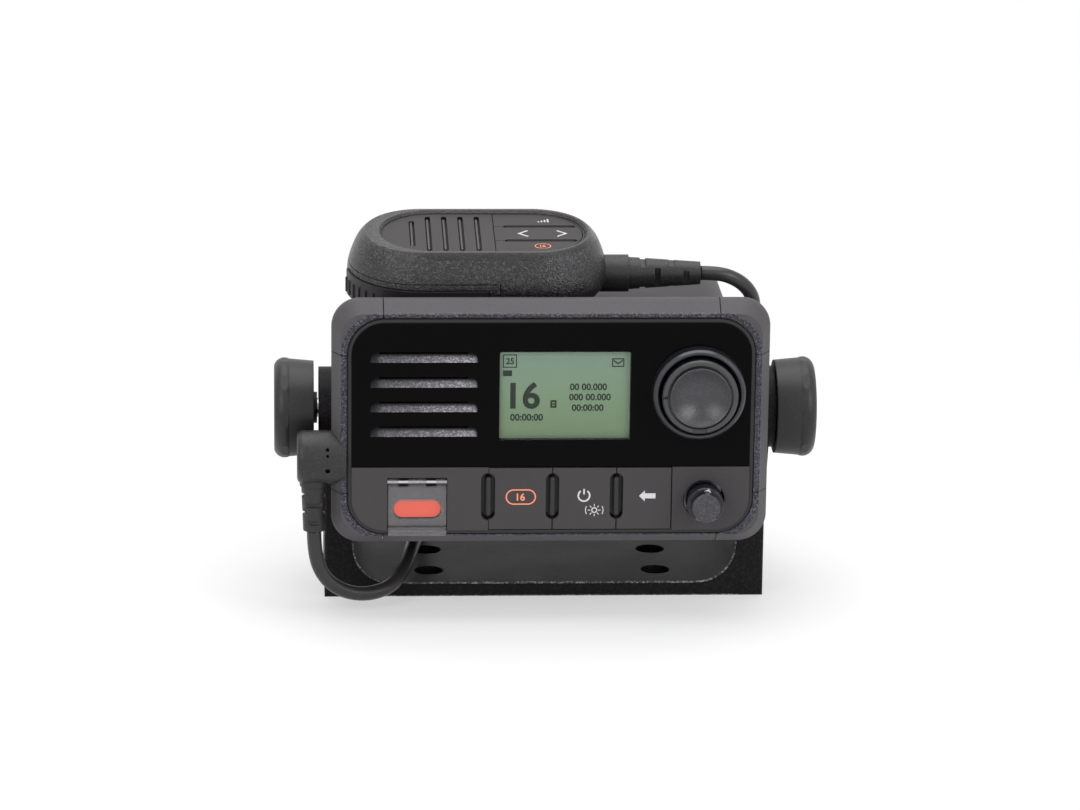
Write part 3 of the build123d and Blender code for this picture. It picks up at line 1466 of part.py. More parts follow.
mic_tail_points = [
    (mic_exit.X, mic_exit.Y, mic_exit.Z),
    (mic_exit.X + 7.5, mic_exit.Y, mic_exit.Z),
    (79.2, -16.6, 133.5),
    (84.9, -13.8, 128.6),
    (88.0, -9.9, 121.8),
    (88.2, -3.7, 111.4),
    (88.0, 5, 97),
    (87.7, 14, 80.5),
    (87.9, 23.5, 63),
    (87.4, 33.5, 46.5),
    (86.2, 44, 31),
    (83.8, 55.5, 17.5),
    (79.5, 66.7, 7.6),
    (75, 77, 3.0),
    (71, 86, 3.0),
]


def bend_radii(points):
    """Arc radius at each corner: 0.45 of the shorter run over the tangent of half the turn."""
    runs = [Vector(*b) - Vector(*a) for a, b in zip(points, points[1:])]
    radii = []
    for before, after in zip(runs, runs[1:]):
        shorter = min(before.length, after.length)
        radii.append(0.45 * shorter / tan(radians(before.get_angle(after)) / 2))
    return radii


cords = {
    "cord_plug_tail": (plug_tail_points, cord_d),
    "cord_curl": (curl_points, curl_d),
    "cord_mic_tail": (mic_tail_points, cord_d),
}
for name, (points, diameter) in cords.items():
    radii = bend_radii(points)
    with BuildPart() as cord:
        with BuildLine() as path:
            FilletPolyline(*points, radius=radii)
        with BuildSketch(Plane(path.line @ 0, z_dir=path.line % 0)):
            Circle(diameter / 2)
        sweep()
    cord.part.label = name
    export_step(cord.part, f"parts/{name}.step")
    run = path.wires()[0].length
    fullness = cord.part.volume / (pi * diameter**2 / 4 * run)
    print(name, "radii", [round(r, 1) for r in radii])
    print(name, "length", round(run, 1), "volume against section x length", round(fullness, 4))
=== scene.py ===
import math

import bmesh
import bpy
from mathutils import Matrix, Quaternion, Vector


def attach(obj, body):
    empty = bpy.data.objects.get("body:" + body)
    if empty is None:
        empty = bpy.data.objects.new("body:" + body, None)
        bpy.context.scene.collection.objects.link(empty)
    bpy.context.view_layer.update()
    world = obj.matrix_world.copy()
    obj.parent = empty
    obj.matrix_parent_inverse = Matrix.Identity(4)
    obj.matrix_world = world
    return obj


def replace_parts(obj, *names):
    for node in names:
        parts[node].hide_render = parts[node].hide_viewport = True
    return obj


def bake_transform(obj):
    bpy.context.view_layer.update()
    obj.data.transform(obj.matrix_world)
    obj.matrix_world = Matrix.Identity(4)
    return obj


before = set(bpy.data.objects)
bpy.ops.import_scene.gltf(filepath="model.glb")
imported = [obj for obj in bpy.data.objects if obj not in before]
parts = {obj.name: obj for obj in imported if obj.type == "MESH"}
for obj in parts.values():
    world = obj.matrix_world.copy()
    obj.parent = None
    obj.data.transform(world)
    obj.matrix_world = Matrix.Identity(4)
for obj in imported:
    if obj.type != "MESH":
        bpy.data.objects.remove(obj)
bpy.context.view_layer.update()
scene = bpy.context.scene


# ================================================================ camera
# A long lens, two metres off, a little above the front and to its left.
def placed(name, data):
    """A new object of the scene."""
    made = bpy.data.objects.new(name, data)
    scene.collection.objects.link(made)
    return made


front_centre = Vector((0, -0.0705, 0.085))
camera_distance = 2.0
camera_turn, camera_rise, camera_roll = math.radians(-3.3), math.radians(15.43), math.radians(0.72)
camera_data = bpy.data.cameras.new("camera")
camera_data.lens = 163.3
camera_data.sensor_width = 36
camera_data.shift_x, camera_data.shift_y = -0.01044, 0.01881
camera_data.clip_end = 20
camera = placed("camera", camera_data)
scene.camera = camera
towards_camera = Vector((
    math.sin(camera_turn) * math.cos(camera_rise),
    -math.cos(camera_turn) * math.cos(camera_rise),
    math.sin(camera_rise),
))
camera.location = front_centre + camera_distance * towards_camera
camera.rotation_mode = "QUATERNION"
camera.rotation_quaternion = (-towards_camera).to_track_quat("-Z", "Y") @ Quaternion((0, 0, 1), camera_roll)


# ================================================================ microphone cord
# A 6 mm jacketed lead: a smooth tail at the plug, a tight coiled stretch lying behind the radio,
# and a smooth tail up to the microphone. The jacket is one soft black compound throughout.
def feed(tree, socket, value):
    """Links a socket to another one, or gives it a value of its own."""
    if isinstance(value, bpy.types.NodeSocket):
        tree.links.new(value, socket)
    else:
        socket.default_value = value


def add_node(tree, kind, **settings):
    """A node of a tree, with its sockets and properties set by name."""
    made = tree.nodes.new(kind)
    for name, value in settings.items():
        socket = made.inputs.get(name.replace("_", " "))
        if socket is None:
            setattr(made, name, value)
        else:
            feed(tree, socket, value)
    return made


def output_of(tree, kind, **settings):
    """The first output of a new node."""
    return add_node(tree, kind, **settings).outputs[0]


def worked(tree, operation, *values):
    """A Math node of numbers and sockets; gives its output."""
    made = tree.nodes.new("ShaderNodeMath")
    made.operation = operation
    for socket, value in zip(made.inputs, values):
        feed(tree, socket, value)
    return made.outputs[0]


def times(tree, first, *values):
    """The product of numbers and sockets."""
    for value in values:
        first = worked(tree, "MULTIPLY", first, value)
    return first


def ranged(tree, value, start, end, low, high, curve="LINEAR"):
    """Turns a value's stretch from start to end into low to high, and holds it there beyond."""
    return output_of(
        tree, "ShaderNodeMapRange", interpolation_type=curve, Value=value, From_Min=start, From_Max=end,
        To_Min=low, To_Max=high,
    )


def mixed(tree, mask, below, above, kind="RGBA"):
    """One colour, or one number when the kind is FLOAT, laid over another inside a mask."""
    made = add_node(tree, "ShaderNodeMix", data_type=kind)
    below_at, above_at, output_at = (6, 7, 2) if kind == "RGBA" else (2, 3, 0)
    for place, value in ((0, mask), (below_at, below), (above_at, above)):
        feed(tree, made.inputs[place], (*value, 1) if isinstance(value, tuple) else value)
    return made.outputs[output_at]


def scaled(tree, colour, factor):
    """A colour times a number."""
    return output_of(tree, "ShaderNodeVectorMath", operation="SCALE", Vector=colour, Scale=factor)


def opened(material):
    """A material's tree and shader, and the place on the part with its three axes."""
    tree = material.node_tree
    spot = tree.nodes.new("ShaderNodeTexCoord").outputs["Object"]
    axes = add_node(tree, "ShaderNodeSeparateXYZ", Vector=spot).outputs
    return tree, tree.nodes["Principled BSDF"], spot, axes


def new_group(name, kind, inputs, outputs):
    """A node group and its two ends. Each input's value gives its type; one without a value is a vector."""
    tree = bpy.data.node_groups.new(name, kind)
    for socket, value in inputs.items():
        socket_type = {int: "NodeSocketInt", float: "NodeSocketFloat"}.get(type(value), "NodeSocketVector")
        made = tree.interface.new_socket(name=socket, in_out="INPUT", socket_type=socket_type)
        if value is not None:
            made.default_value = value
    for socket in outputs:
        socket_type = "NodeSocketFloat" if kind == "ShaderNodeTree" else "NodeSocketGeometry"
        tree.interface.new_socket(name=socket, in_out="OUTPUT", socket_type=socket_type)
    return tree, tree.nodes.new("NodeGroupInput").outputs, tree.nodes.new("NodeGroupOutput").inputs


# Moulded grain: fine pits over a slow unevenness, as spark-eroded tool steel leaves on plastic.
grain, grain_in, grain_out = new_group(
    "moulded grain", "ShaderNodeTree", {"Vector": None, "Pits per metre": 1500.0},
    ("Height", "Cloud", "Glint"),
)
cloud_scale, glint_sharpness = 38.0, 3.0
pits = output_of(grain, "ShaderNodeTexNoise", Vector=grain_in[0], Scale=grain_in[1], Detail=3.0)
cells = add_node(grain, "ShaderNodeTexVoronoi", Vector=grain_in[0], Scale=grain_in[1])
cloud = output_of(grain, "ShaderNodeTexNoise", Vector=grain_in[0], Scale=cloud_scale, Detail=4.0)
cell_shade = output_of(grain, "ShaderNodeSeparateColor", Color=cells.outputs["Color"])
height = worked(grain, "ADD", pits, cells.outputs["Distance"])
grain.links.new(height, grain_out["Height"])
grain.links.new(cloud, grain_out["Cloud"])
grain.links.new(worked(grain, "POWER", cell_shade, glint_sharpness), grain_out["Glint"])
glint_gain, glint_loss = 3.2, 0.6
gloss_spread = 0.15
pit_depth = 0.0002


def finish(name, colour, roughness, pits=1500.0, bump=0.12, cloud=0.08, speck=0.0, metallic=0.0,
           specular=0.5, ease=0.0003, zones=()):
    """A moulded or metal finish whose colour and roughness vary with the grain, by cloud and speck.

    Each zone is a mask made from the place on the part, with the colour, roughness and speck inside it.
    Ease is the radius that the finish gives to sharp edges.
    """
    material = bpy.data.materials.new(name)
    material.use_nodes = True
    tree, shader, spot, axes = opened(material)
    texture = add_node(tree, "ShaderNodeGroup", node_tree=grain, Vector=spot, Pits_per_metre=pits).outputs
    gloss = ranged(tree, texture["Cloud"], 0.0, 1.0, 1 - gloss_spread, 1 + gloss_spread)
    rough = times(tree, gloss, roughness)
    for mask, zone_colour, zone_roughness, zone_speck in zones:
        inside = mask(tree, axes)
        speck = mixed(tree, inside, speck, zone_speck, "FLOAT")
        colour = mixed(tree, inside, colour, zone_colour)
        rough = mixed(tree, inside, rough, zone_roughness, "FLOAT")
    glitter = worked(tree, "SUBTRACT", times(tree, texture["Glint"], glint_gain), glint_loss)
    spark = worked(tree, "ADD", times(tree, glitter, speck), 1.0)
    tint = ranged(tree, texture["Cloud"], 0.0, 1.0, 1 - cloud, 1 + cloud)
    tree.links.new(scaled(tree, colour, times(tree, tint, spark)), shader.inputs["Base Color"])
    tree.links.new(rough, shader.inputs["Roughness"])
    rounding = output_of(tree, "ShaderNodeBevel", samples=4, Radius=ease)
    relief = output_of(
        tree, "ShaderNodeBump", Height=texture["Height"], Strength=bump, Distance=pit_depth,
        Normal=rounding,
    )
    tree.links.new(relief, shader.inputs["Normal"])
    shader.inputs["Metallic"].default_value = metallic
    shader.inputs["Specular IOR Level"].default_value = specular
    return material


def lay_over(tree, shader, name, mask, value):
    """Lays a colour or a roughness over what already feeds a shader's socket, inside a mask."""
    socket = shader.inputs[name]
    kind = "RGBA" if name == "Base Color" else "FLOAT"
    tree.links.new(mixed(tree, mask, socket.links[0].from_socket, value, kind), socket)


def dress(material, *nodes):
    """Gives CAD parts their finish."""
    for node in nodes:
        parts[node].data.materials.clear()
        parts[node].data.materials.append(material)


def settled(holder):
    """The plain mesh of what an object's curve or modifiers make; the object itself goes."""
    mesh = bpy.data.meshes.new_from_object(holder.evaluated_get(bpy.context.evaluated_depsgraph_get()))
    holder.modifiers.clear()
    bpy.data.objects.remove(holder)
    return mesh


def as_mesh(name, shape):
    """A mesh from a bmesh, which is freed."""
    mesh = bpy.data.meshes.new(name)
    shape.to_mesh(mesh)
    shape.free()
    return mesh


def rounded_line(name, route):
    """The points of a smooth lead that is drawn through the control points of its route."""
    curve = bpy.data.curves.new(name, "CURVE")
    curve.dimensions = "3D"
    spline = curve.splines.new("NURBS")
    spline.points.add(len(route) - 1)
    for point, place in zip(spline.points, route):
        point.co = (*place, 1)
    spline.order_u = 3
    spline.use_endpoint_u = True
    spline.resolution_u = 12
    drawn = settled(placed(name, curve))
    line = [v.co.copy() for v in drawn.vertices]
    bpy.data.meshes.remove(drawn)
    return line


def round_points(sides):
    """The angles of a ring's points."""
    return [2 * math.pi * k / sides for k in range(sides)]


def tube_mesh(name, line, radius, sides=16):
    """A round tube along a line, its rings carried along without twist."""
    made = bmesh.new()
    along = [(b - a).normalized() for a, b in zip(line, line[1:])]
    along = [along[0]] + [(a + b).normalized() for a, b in zip(along, along[1:])] + [along[-1]]
    across = along[0].orthogonal().normalized()
    rings = []
    for place, way in zip(line, along):
        across = (across - way * across.dot(way)).normalized()
        other = way.cross(across)
        rings.append([
            made.verts.new(place + radius * (math.cos(t) * across + math.sin(t) * other))
            for t in round_points(sides)
        ])
    for ring, following in zip(rings, rings[1:]):
        for k in range(sides):
            made.faces.new((ring[k], ring[(k + 1) % sides], following[(k + 1) % sides], following[k]))
    made.faces.new(list(reversed(rings[0])))
    made.faces.new(rings[-1])
    for face in made.faces:
        face.smooth = len(face.verts) == 4
    return as_mesh(name, made)


lead_radius = 0.003
coil_radius = 0.0056
coil_pitch = 0.0063
coil_lead_in = 0.010
steps_per_turn = 26
parting_level = 0.100
jacket = finish("cord jacket", (0.027, 0.025, 0.026), 0.34, pits=900, bump=0.05, cloud=0.10, specular=0.4)

plug_tail_route = [
    (-0.0967, -0.0620, 0.0385), (-0.0967, -0.0620, 0.0280), (-0.0925, -0.0610, 0.0170),
    (-0.0840, -0.0580, 0.0102), (-0.0740, -0.0525, 0.0074), (-0.0640, -0.0450, 0.0086),
    (-0.0580, -0.0345, 0.0144), (-0.0547, -0.0200, 0.0194), (-0.0518, -0.0040, 0.0214),
    (-0.0500, 0.0140, 0.0190), (-0.0495, 0.0320, 0.0130), (-0.0520, 0.0490, 0.0065),
    (-0.0585, 0.0630, 0.0034), (-0.0670, 0.0735, 0.0030), (-0.0710, 0.0880, 0.0030),
]
coil_route = [
    (-0.0710, 0.0880, 0.0086), (-0.0742, 0.0996, 0.0086), (-0.0715, 0.1120, 0.0086),
    (-0.0615, 0.1205, 0.0086), (-0.0460, 0.1255, 0.0086), (-0.0295, 0.1280, 0.0086),
    (-0.0120, 0.1285, 0.0086), (0.0050, 0.1276, 0.0086), (0.0215, 0.1250, 0.0086),
    (0.0370, 0.1202, 0.0086), (0.0505, 0.1130, 0.0086), (0.0605, 0.1045, 0.0086),
    (0.0666, 0.0959, 0.0086), (0.0710, 0.0860, 0.0086),
]
microphone_tail_route = [
    (0.0642, -0.0181, 0.1362), (0.0717, -0.0181, 0.1362), (0.0792, -0.0166, 0.1335),
    (0.0849, -0.0138, 0.1286), (0.0880, -0.0099, 0.1218), (0.0882, -0.0037, 0.1114),
    (0.0880, 0.0050, 0.0970), (0.0877, 0.0140, 0.0805), (0.0879, 0.0235, 0.0630),
    (0.0874, 0.0335, 0.0465), (0.0862, 0.0440, 0.0310), (0.0838, 0.0555, 0.0175),
    (0.0795, 0.0667, 0.0076), (0.0750, 0.0770, 0.0030), (0.0710, 0.0860, 0.0030),
]


def line_length(line):
    """How long a line of points is."""
    return sum((b - a).length for a, b in zip(line, line[1:]))


def coiled(line, radius, pitch):
    """The helix of a curly lead round a level line; it starts and ends at the bottom, lengthwise."""
    total = line_length(line)
    turning = total - coil_lead_in
    turns = round(turning / pitch)
    path = []
    piece, done = 0, 0.0
    for k in range(turns * steps_per_turn + 1):
        reach = total * k / (turns * steps_per_turn)
        while piece < len(line) - 2 and reach > done + (line[piece + 1] - line[piece]).length:
            done += (line[piece + 1] - line[piece]).length
            piece += 1
        start, end = line[piece], line[piece + 1]
        centre = start.lerp(end, min(1, (reach - done) / (end - start).length))
        early, late = min(reach, coil_lead_in), max(0.0, reach - turning)
        swept = early * early / (2 * coil_lead_in) + max(0.0, min(reach, turning) - coil_lead_in)
        swept += late - late * late / (2 * coil_lead_in)
        angle = 2 * math.pi * turns * swept / turning
        side = Vector((0, 0, 1)).cross((end - start).normalized()).normalized()
        path.append(centre + radius * (-math.cos(angle) * Vector((0, 0, 1)) + math.sin(angle) * side))
    return path


plug_tail = rounded_line("cord_at_plug", plug_tail_route)
coils = coiled(rounded_line("cord_coils", coil_route), coil_radius, coil_pitch)
microphone_tail = rounded_line("cord_at_microphone", microphone_tail_route)
parting = next(k for k, place in enumerate(microphone_tail) if place.z < parting_level)
leads = [
    ("cord_at_plug", plug_tail, "radio", ["cord_plug_tail"]),
    ("cord_coils", coils, "bracket", ["cord_curl"]),
    ("cord_beside_case", microphone_tail[parting:], "radio", ["cord_mic_tail"]),
    ("cord_at_microphone", microphone_tail[:parting + 1], "microphone", ["cord_mic_tail"]),
]
for name, line, body, stood_for in leads:
    lead = placed(name, tube_mesh(name, line, lead_radius))
    lead.data.materials.append(jacket)
    if name == "cord_at_plug":
        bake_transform(lead)
    elif name == "cord_beside_case":
        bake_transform(lead)
    elif name == "cord_at_microphone":
        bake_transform(lead)
    else:
        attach(lead, body)
    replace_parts(lead, *stood_for)

# ================================================================ floor and light
# A pale floor that fades into a white surround, under large soft lamps: one overhead and one at
# each side of the front. The floor near the object keeps its shadow.
floor_half = 4.0
fade_start, fade_end = 0.16, 0.55
near_white = 0.45
floor_mesh = bpy.data.meshes.new("floor")
floor_mesh.from_pydata(
    [(x * floor_half, y * floor_half, 0) for x, y in ((-1, -1), (1, -1), (1, 1), (-1, 1))],
    [], [(0, 1, 2, 3)],
)
floor = placed("floor", floor_mesh)
paper = bpy.data.materials.new("paper")
paper.use_nodes = True
tree, matt, spot, axes = opened(paper)
matt.inputs["Base Color"].default_value = (0.90, 0.90, 0.90, 1)
matt.inputs["Roughness"].default_value = 0.9
matt.inputs["Specular IOR Level"].default_value = 0.1


def seen_rays(tree):
    """One where a camera, mirror or glass ray looks, and nought for the light on the object."""
    rays = tree.nodes.new("ShaderNodeLightPath").outputs
    straight = worked(tree, "MAXIMUM", rays["Is Camera Ray"], rays["Is Glossy Ray"])
    return worked(tree, "MAXIMUM", straight, rays["Is Transmission Ray"])


def chosen(tree, mask, first, second, sink):
    """Ends a tree with one of two shaders, by a mask."""
    made = tree.nodes.new("ShaderNodeMixShader")
    for socket, value in zip(made.inputs, (mask, first, second)):
        tree.links.new(value, socket)
    tree.links.new(made.outputs[0], sink.inputs["Surface"])


reach = add_node(tree, "ShaderNodeVectorMath", operation="LENGTH", Vector=spot)
fade = ranged(tree, reach.outputs["Value"], fade_start, fade_end, near_white, 1.0, "SMOOTHSTEP")
glow = output_of(tree, "ShaderNodeEmission", Color=(1, 1, 1, 1), Strength=1.0)
white_share = times(tree, fade, seen_rays(tree))
chosen(tree, white_share, matt.outputs[0], glow, tree.nodes["Material Output"])
floor_mesh.materials.append(paper)

room_light = 0.55
scene.world = bpy.data.worlds.new("world")
scene.world.use_nodes = True
tree = scene.world.node_tree
tree.nodes.clear()
room = output_of(tree, "ShaderNodeBackground", Color=(1, 1, 1, 1), Strength=room_light)
white = output_of(tree, "ShaderNodeBackground", Color=(1, 1, 1, 1), Strength=1.0)
chosen(tree, seen_rays(tree), room, white, tree.nodes.new("ShaderNodeOutputWorld"))

lamps_aim = Vector((0, -0.02, 0.08))
lamps = [
    ("overhead", (0.0, 0.1, 1.3), 1.3, 13.0),
    ("front_left", (-1.1, -1.3, 0.9), 0.8, 8.0),
    ("front_right", (1.2, -1.1, 0.8), 0.8, 9.0),
]
for name, place, side, power in lamps:
    lamp = bpy.data.lights.new(name, "AREA")
    lamp.size = side
    lamp.energy = power
    holder = placed(name, lamp)
    holder.location = place
    holder.rotation_euler = (lamps_aim - Vector(place)).to_track_quat("-Z", "Y").to_euler()
scene.view_settings.view_transform = "Standard"

# ================================================================ bracket
# One glass-filled black moulding with a satin grain, screwed down through four counterbored
# holes, with a rubber friction washer inside each arm.
floor_edge, floor_half_width = -0.0325, 0.082
rounding_start, rounding_end = 0.0002, 0.0010


def between(tree, value, low, high):
    """One where a value lies between two limits, and nought elsewhere."""
    above = worked(tree, "GREATER_THAN", value, low)
    return times(tree, above, worked(tree, "LESS_THAN", value, high))


def bracket_edge_highlight(tree, axes):
    """The rounding between the floor and its front face, given a painted highlight."""
    rounding = between(tree, axes["Y"], floor_edge + rounding_start, floor_edge + rounding_end)
    return times(tree, rounding, between(tree, axes["X"], -floor_half_width, floor_half_width))


# The bracket's front edge gets a painted highlight: a lighter, sparkling band in its colour.
bracket_black = finish(
    "bracket black", (0.0095, 0.0085, 0.0095), 0.48, pits=1500, bump=0.30, cloud=0.15, speck=0.35,
    specular=0.10, ease=0.0009, zones=[(bracket_edge_highlight, (0.15, 0.145, 0.15), 0.35, 0.9)],
)
dress(bracket_black, "bracket")
rubber = finish("rubber", (0.02, 0.02, 0.02), 0.7, pits=1200, bump=0.1)
dress(rubber, "pivot_washers")

# ================================================================ bracket knobs
# Faintly lobed black caps, moulded round plated steel studs that screw into brass inserts in the
# case and clamp the radio between the bracket's arms.
knob_black = finish(
    "knob black", (0.018, 0.0165, 0.0175), 0.42, pits=1700, bump=0.18, cloud=0.14, speck=0.10,
    specular=0.35, ease=0.0008,
)
dress(knob_black, "bracket_knob_left", "bracket_knob_right")
steel = finish("steel", (0.60, 0.60, 0.61), 0.28, pits=2200, bump=0.03, cloud=0.05, metallic=1.0)
dress(steel, "stud_left", "stud_right")
brass = finish("insert brass", (0.62, 0.52, 0.30), 0.34, metallic=1.0, bump=0.04)
dress(brass, "pivot_inserts")

# ================================================================ front frame
# A soft-touch grey frame with four snap-on corner caps. Its narrow front ring is left bare, in a
# sparkling violet-grey grain, with a thin grey rim between it and the panels.
rounded, rounded_in, rounded_out = new_group(
    "rounded zone", "ShaderNodeTree",
    {"Along": 0.0, "Across": 0.0, "Length": 0.02, "Width": 0.01, "Corner": 0.005}, ("Inside",),
)
squares = []
for way, size in (("Along", "Length"), ("Across", "Width")):
    half = times(rounded, rounded_in[size], 0.5)
    straight = worked(rounded, "SUBTRACT", half, rounded_in["Corner"])
    past = worked(rounded, "SUBTRACT", worked(rounded, "ABSOLUTE", rounded_in[way]), straight)
    past = worked(rounded, "MAXIMUM", past, 0.0)
    squares.append(times(rounded, past, past))
off_corner = worked(rounded, "SQRT", worked(rounded, "ADD", *squares))
rounded.links.new(worked(rounded, "LESS_THAN", off_corner, rounded_in["Corner"]), rounded_out["Inside"])


def rounded_zone(tree, along, across, length, width, corner=None):
    """A mask that is one inside an oblong with round corners, from distances along and across it."""
    return add_node(
        tree, "ShaderNodeGroup", node_tree=rounded, Along=along, Across=across, Length=length, Width=width,
        Corner=width / 2 if corner is None else corner,
    ).outputs["Inside"]


ring_front = -0.0705
ring_depth = 0.0006
ring_reach = 0.0045
window_width, window_height, window_corner, window_level = 0.1630, 0.0876, 0.0135, 0.0846


def front_ring(tree, axes):
    """The bare ring round the frame's window."""
    within = rounded_zone(
        tree, axes["X"], worked(tree, "SUBTRACT", axes["Z"], window_level), window_width + 2 * ring_reach,
        window_height + 2 * ring_reach, window_corner + ring_reach,
    )
    return times(tree, within, worked(tree, "LESS_THAN", axes["Y"], ring_front + ring_depth))


frame_grey = finish(
    "frame grey", (0.066, 0.062, 0.067), 0.55, pits=2400, bump=0.25, cloud=0.07, speck=0.05,
    specular=0.30, ease=0.0004, zones=[(front_ring, (0.036, 0.0355, 0.046), 0.30, 1.0)],
)
dress(frame_grey, "bezel")
for corner in ("top_left", "top_right", "bottom_left", "bottom_right"):
    dress(frame_grey, "corner_cap_" + corner)
rim_grey = finish("rim grey", (0.022, 0.021, 0.022), 0.40, pits=1800, bump=0.08, specular=0.30)
dress(rim_grey, "rim_gasket")

# ================================================================ fascia
# A black gloss panel with four sloped sound scoops sunk into it. Their floors are moulded in a coarse grain,
# whose glints are painted into the colour as a painted highlight, brightest near the foot of each.
face_front = -0.0720
face_skin = 0.00005
scoop_middle, scoop_half = -0.0521, 0.0222
scoop_foot, scoop_head = 0.0795, 0.1175
scoop_level, scoop_pitch = 0.0829, 0.0104
dark_above, lit_below = 0.0008, 0.0006
scoop_shade, scoop_tint = 0.030, (1.0, 0.96, 1.06)
scoop_glint_low, scoop_glint_high = 0.13, 0.48
scoop_pits, scoop_pit_depth, scoop_bump, scoop_roughness = 1900, 0.0003, 0.6, 0.45

fascia_black = finish(
    "fascia black", (0.0018, 0.0015, 0.0018), 0.08, pits=1500, bump=0.0, cloud=0.10, specular=0.05,
    ease=0.0002,
)
dress(fascia_black, "fascia")
tree, shader, spot, axes = opened(fascia_black)
sunk = worked(tree, "GREATER_THAN", axes["Y"], face_front + face_skin)
floors = times(
    tree, between(tree, axes["X"], scoop_middle - scoop_half, scoop_middle + scoop_half),
    between(tree, axes["Z"], scoop_foot, scoop_head), sunk,
)
# Painted highlight: bright glints in a band near each scoop's foot, rising from left to right and fading at
# both ends.
within = worked(tree, "WRAP", axes["Z"], scoop_level + scoop_pitch / 2, scoop_level - scoop_pitch / 2)
painted_light = ranged(tree, within, scoop_level + dark_above, scoop_level - lit_below, 0.0, 1.0, "SMOOTHSTEP")
for start, full, least in ((-0.0722, -0.0680, 0.0), (-0.0690, -0.0330, 0.45), (-0.0300, -0.0315, 0.3)):
    ramp = ranged(tree, axes["X"], start, full, least, 1.0, "SMOOTHSTEP")
    painted_light = times(tree, painted_light, ramp)
coarse = add_node(tree, "ShaderNodeGroup", node_tree=grain, Vector=spot, Pits_per_metre=scoop_pits).outputs
glint = ranged(tree, coarse["Glint"], 0.0, 1.0, scoop_glint_low, scoop_glint_high)
painted_glints = times(tree, glint, painted_light)
scoop_colour = scaled(tree, scoop_tint, worked(tree, "ADD", painted_glints, scoop_shade))
lay_over(tree, shader, "Base Color", floors, scoop_colour)
lay_over(tree, shader, "Roughness", floors, scoop_roughness)
pitted = output_of(
    tree, "ShaderNodeBump", Height=coarse["Height"], Distance=scoop_pit_depth,
    Strength=times(tree, floors, scoop_bump),
    Normal=shader.inputs["Normal"].links[0].from_socket,
)
tree.links.new(pitted, shader.inputs["Normal"])


# ================================================================ display
# A grey-green liquid-crystal glass behind a clear window. The marks are dark cells in the glass:
# plain numbers, a box, bars and an envelope.
digit_share = 0.74
stroke_gain = 0.035
weld_gap = 1e-7


def flat_mesh(name, outlines=(), numerals=(), thickness=0.00005):
    """A thin sheet in the XY plane: closed outlines, with holes where they nest, and plain numbers.

    Each number has its height and the place of its middle.
    """
    made = bmesh.new()
    drawings = []
    if outlines:
        curve = bpy.data.curves.new(name, "CURVE")
        curve.dimensions = "2D"
        curve.fill_mode = "BOTH"
        for outline in outlines:
            spline = curve.splines.new("POLY")
            spline.points.add(len(outline) - 1)
            for point, (x, y) in zip(spline.points, outline):
                point.co = (x, y, 0, 1)
            spline.use_cyclic_u = True
        drawings.append((curve, None))
    for text, size, x, y in numerals:
        curve = bpy.data.curves.new(name, "FONT")
        curve.body = text
        curve.size = size / digit_share
        curve.offset = stroke_gain * size
        drawings.append((curve, (x, y)))
    for curve, centre in drawings:
        curve.extrude = thickness / 2
        drawn = settled(placed(name, curve))
        if centre:
            spans = [[corner.co[axis] for corner in drawn.vertices] for axis in (0, 1)]
            drawn.transform(Matrix.Translation(
                [wanted - (min(span) + max(span)) / 2 for wanted, span in zip(centre, spans)] + [0],
            ))
        made.from_mesh(drawn)
        bpy.data.meshes.remove(drawn)
    bmesh.ops.remove_doubles(made, verts=made.verts, dist=weld_gap)
    return as_mesh(name, made)


def new_piece(name, mesh, material, body, place=Matrix()):
    """A finished mesh put in its place, with its material, riding on a body."""
    mesh.transform(place)
    mesh.materials.clear()
    mesh.materials.append(material)
    piece = placed(name, mesh)
    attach(piece, body)
    return piece


def facing_front(depth):
    """Puts a sheet drawn in XY upright at a depth: its x stays, its y becomes height."""
    return Matrix(((1, 0, 0, 0), (0, 0, -1, depth), (0, 1, 0, 0), (0, 0, 0, 1)))


def oblong(x, y, width, height):
    """A rectangle's corners, round its centre."""
    corners = ((-1, -1), (1, -1), (1, 1), (-1, 1))
    return [(x + way * width / 2, y + rise * height / 2) for way, rise in corners]


glass_front = -0.0700
mark_rise = 0.00004
lcd_foot, lcd_head = 0.0793, 0.1163
liquid_green = finish("liquid green", (0.235, 0.345, 0.215), 0.42, pits=3200, bump=0.02, cloud=0.03)
dress(liquid_green, "lcd_module")
tree, shader, spot, axes = opened(liquid_green)
wash = tree.nodes.new("ShaderNodeValToRGB")
wash.color_ramp.elements[0].color = (0.140, 0.215, 0.115, 1)
wash.color_ramp.elements[1].color = (0.185, 0.275, 0.215, 1)
wash.color_ramp.elements.new(0.45).color = (0.170, 0.265, 0.150, 1)
tree.links.new(ranged(tree, axes["Z"], lcd_foot, lcd_head, 0.0, 1.0), wash.inputs[0])
cell_pitch = 0.00042
cell_line, cell_shadow = 0.06, 0.08
lines = []
for axis in ("X", "Z"):
    stripe = worked(tree, "PINGPONG", axes[axis], cell_pitch / 2)
    lines.append(worked(tree, "LESS_THAN", stripe, cell_pitch * cell_line))
shadow = times(tree, worked(tree, "MAXIMUM", *lines), cell_shadow)
washed = scaled(tree, wash.outputs[0], worked(tree, "SUBTRACT", 1.0, shadow))
tree.links.new(washed, shader.inputs["Base Color"])

window_clear = finish("window", (0.30, 0.33, 0.32), 0.05, bump=0.0, cloud=0.05, specular=0.12)
window_clear.node_tree.nodes["Principled BSDF"].inputs["Alpha"].default_value = 0.06
dress(window_clear, "lcd_lens")

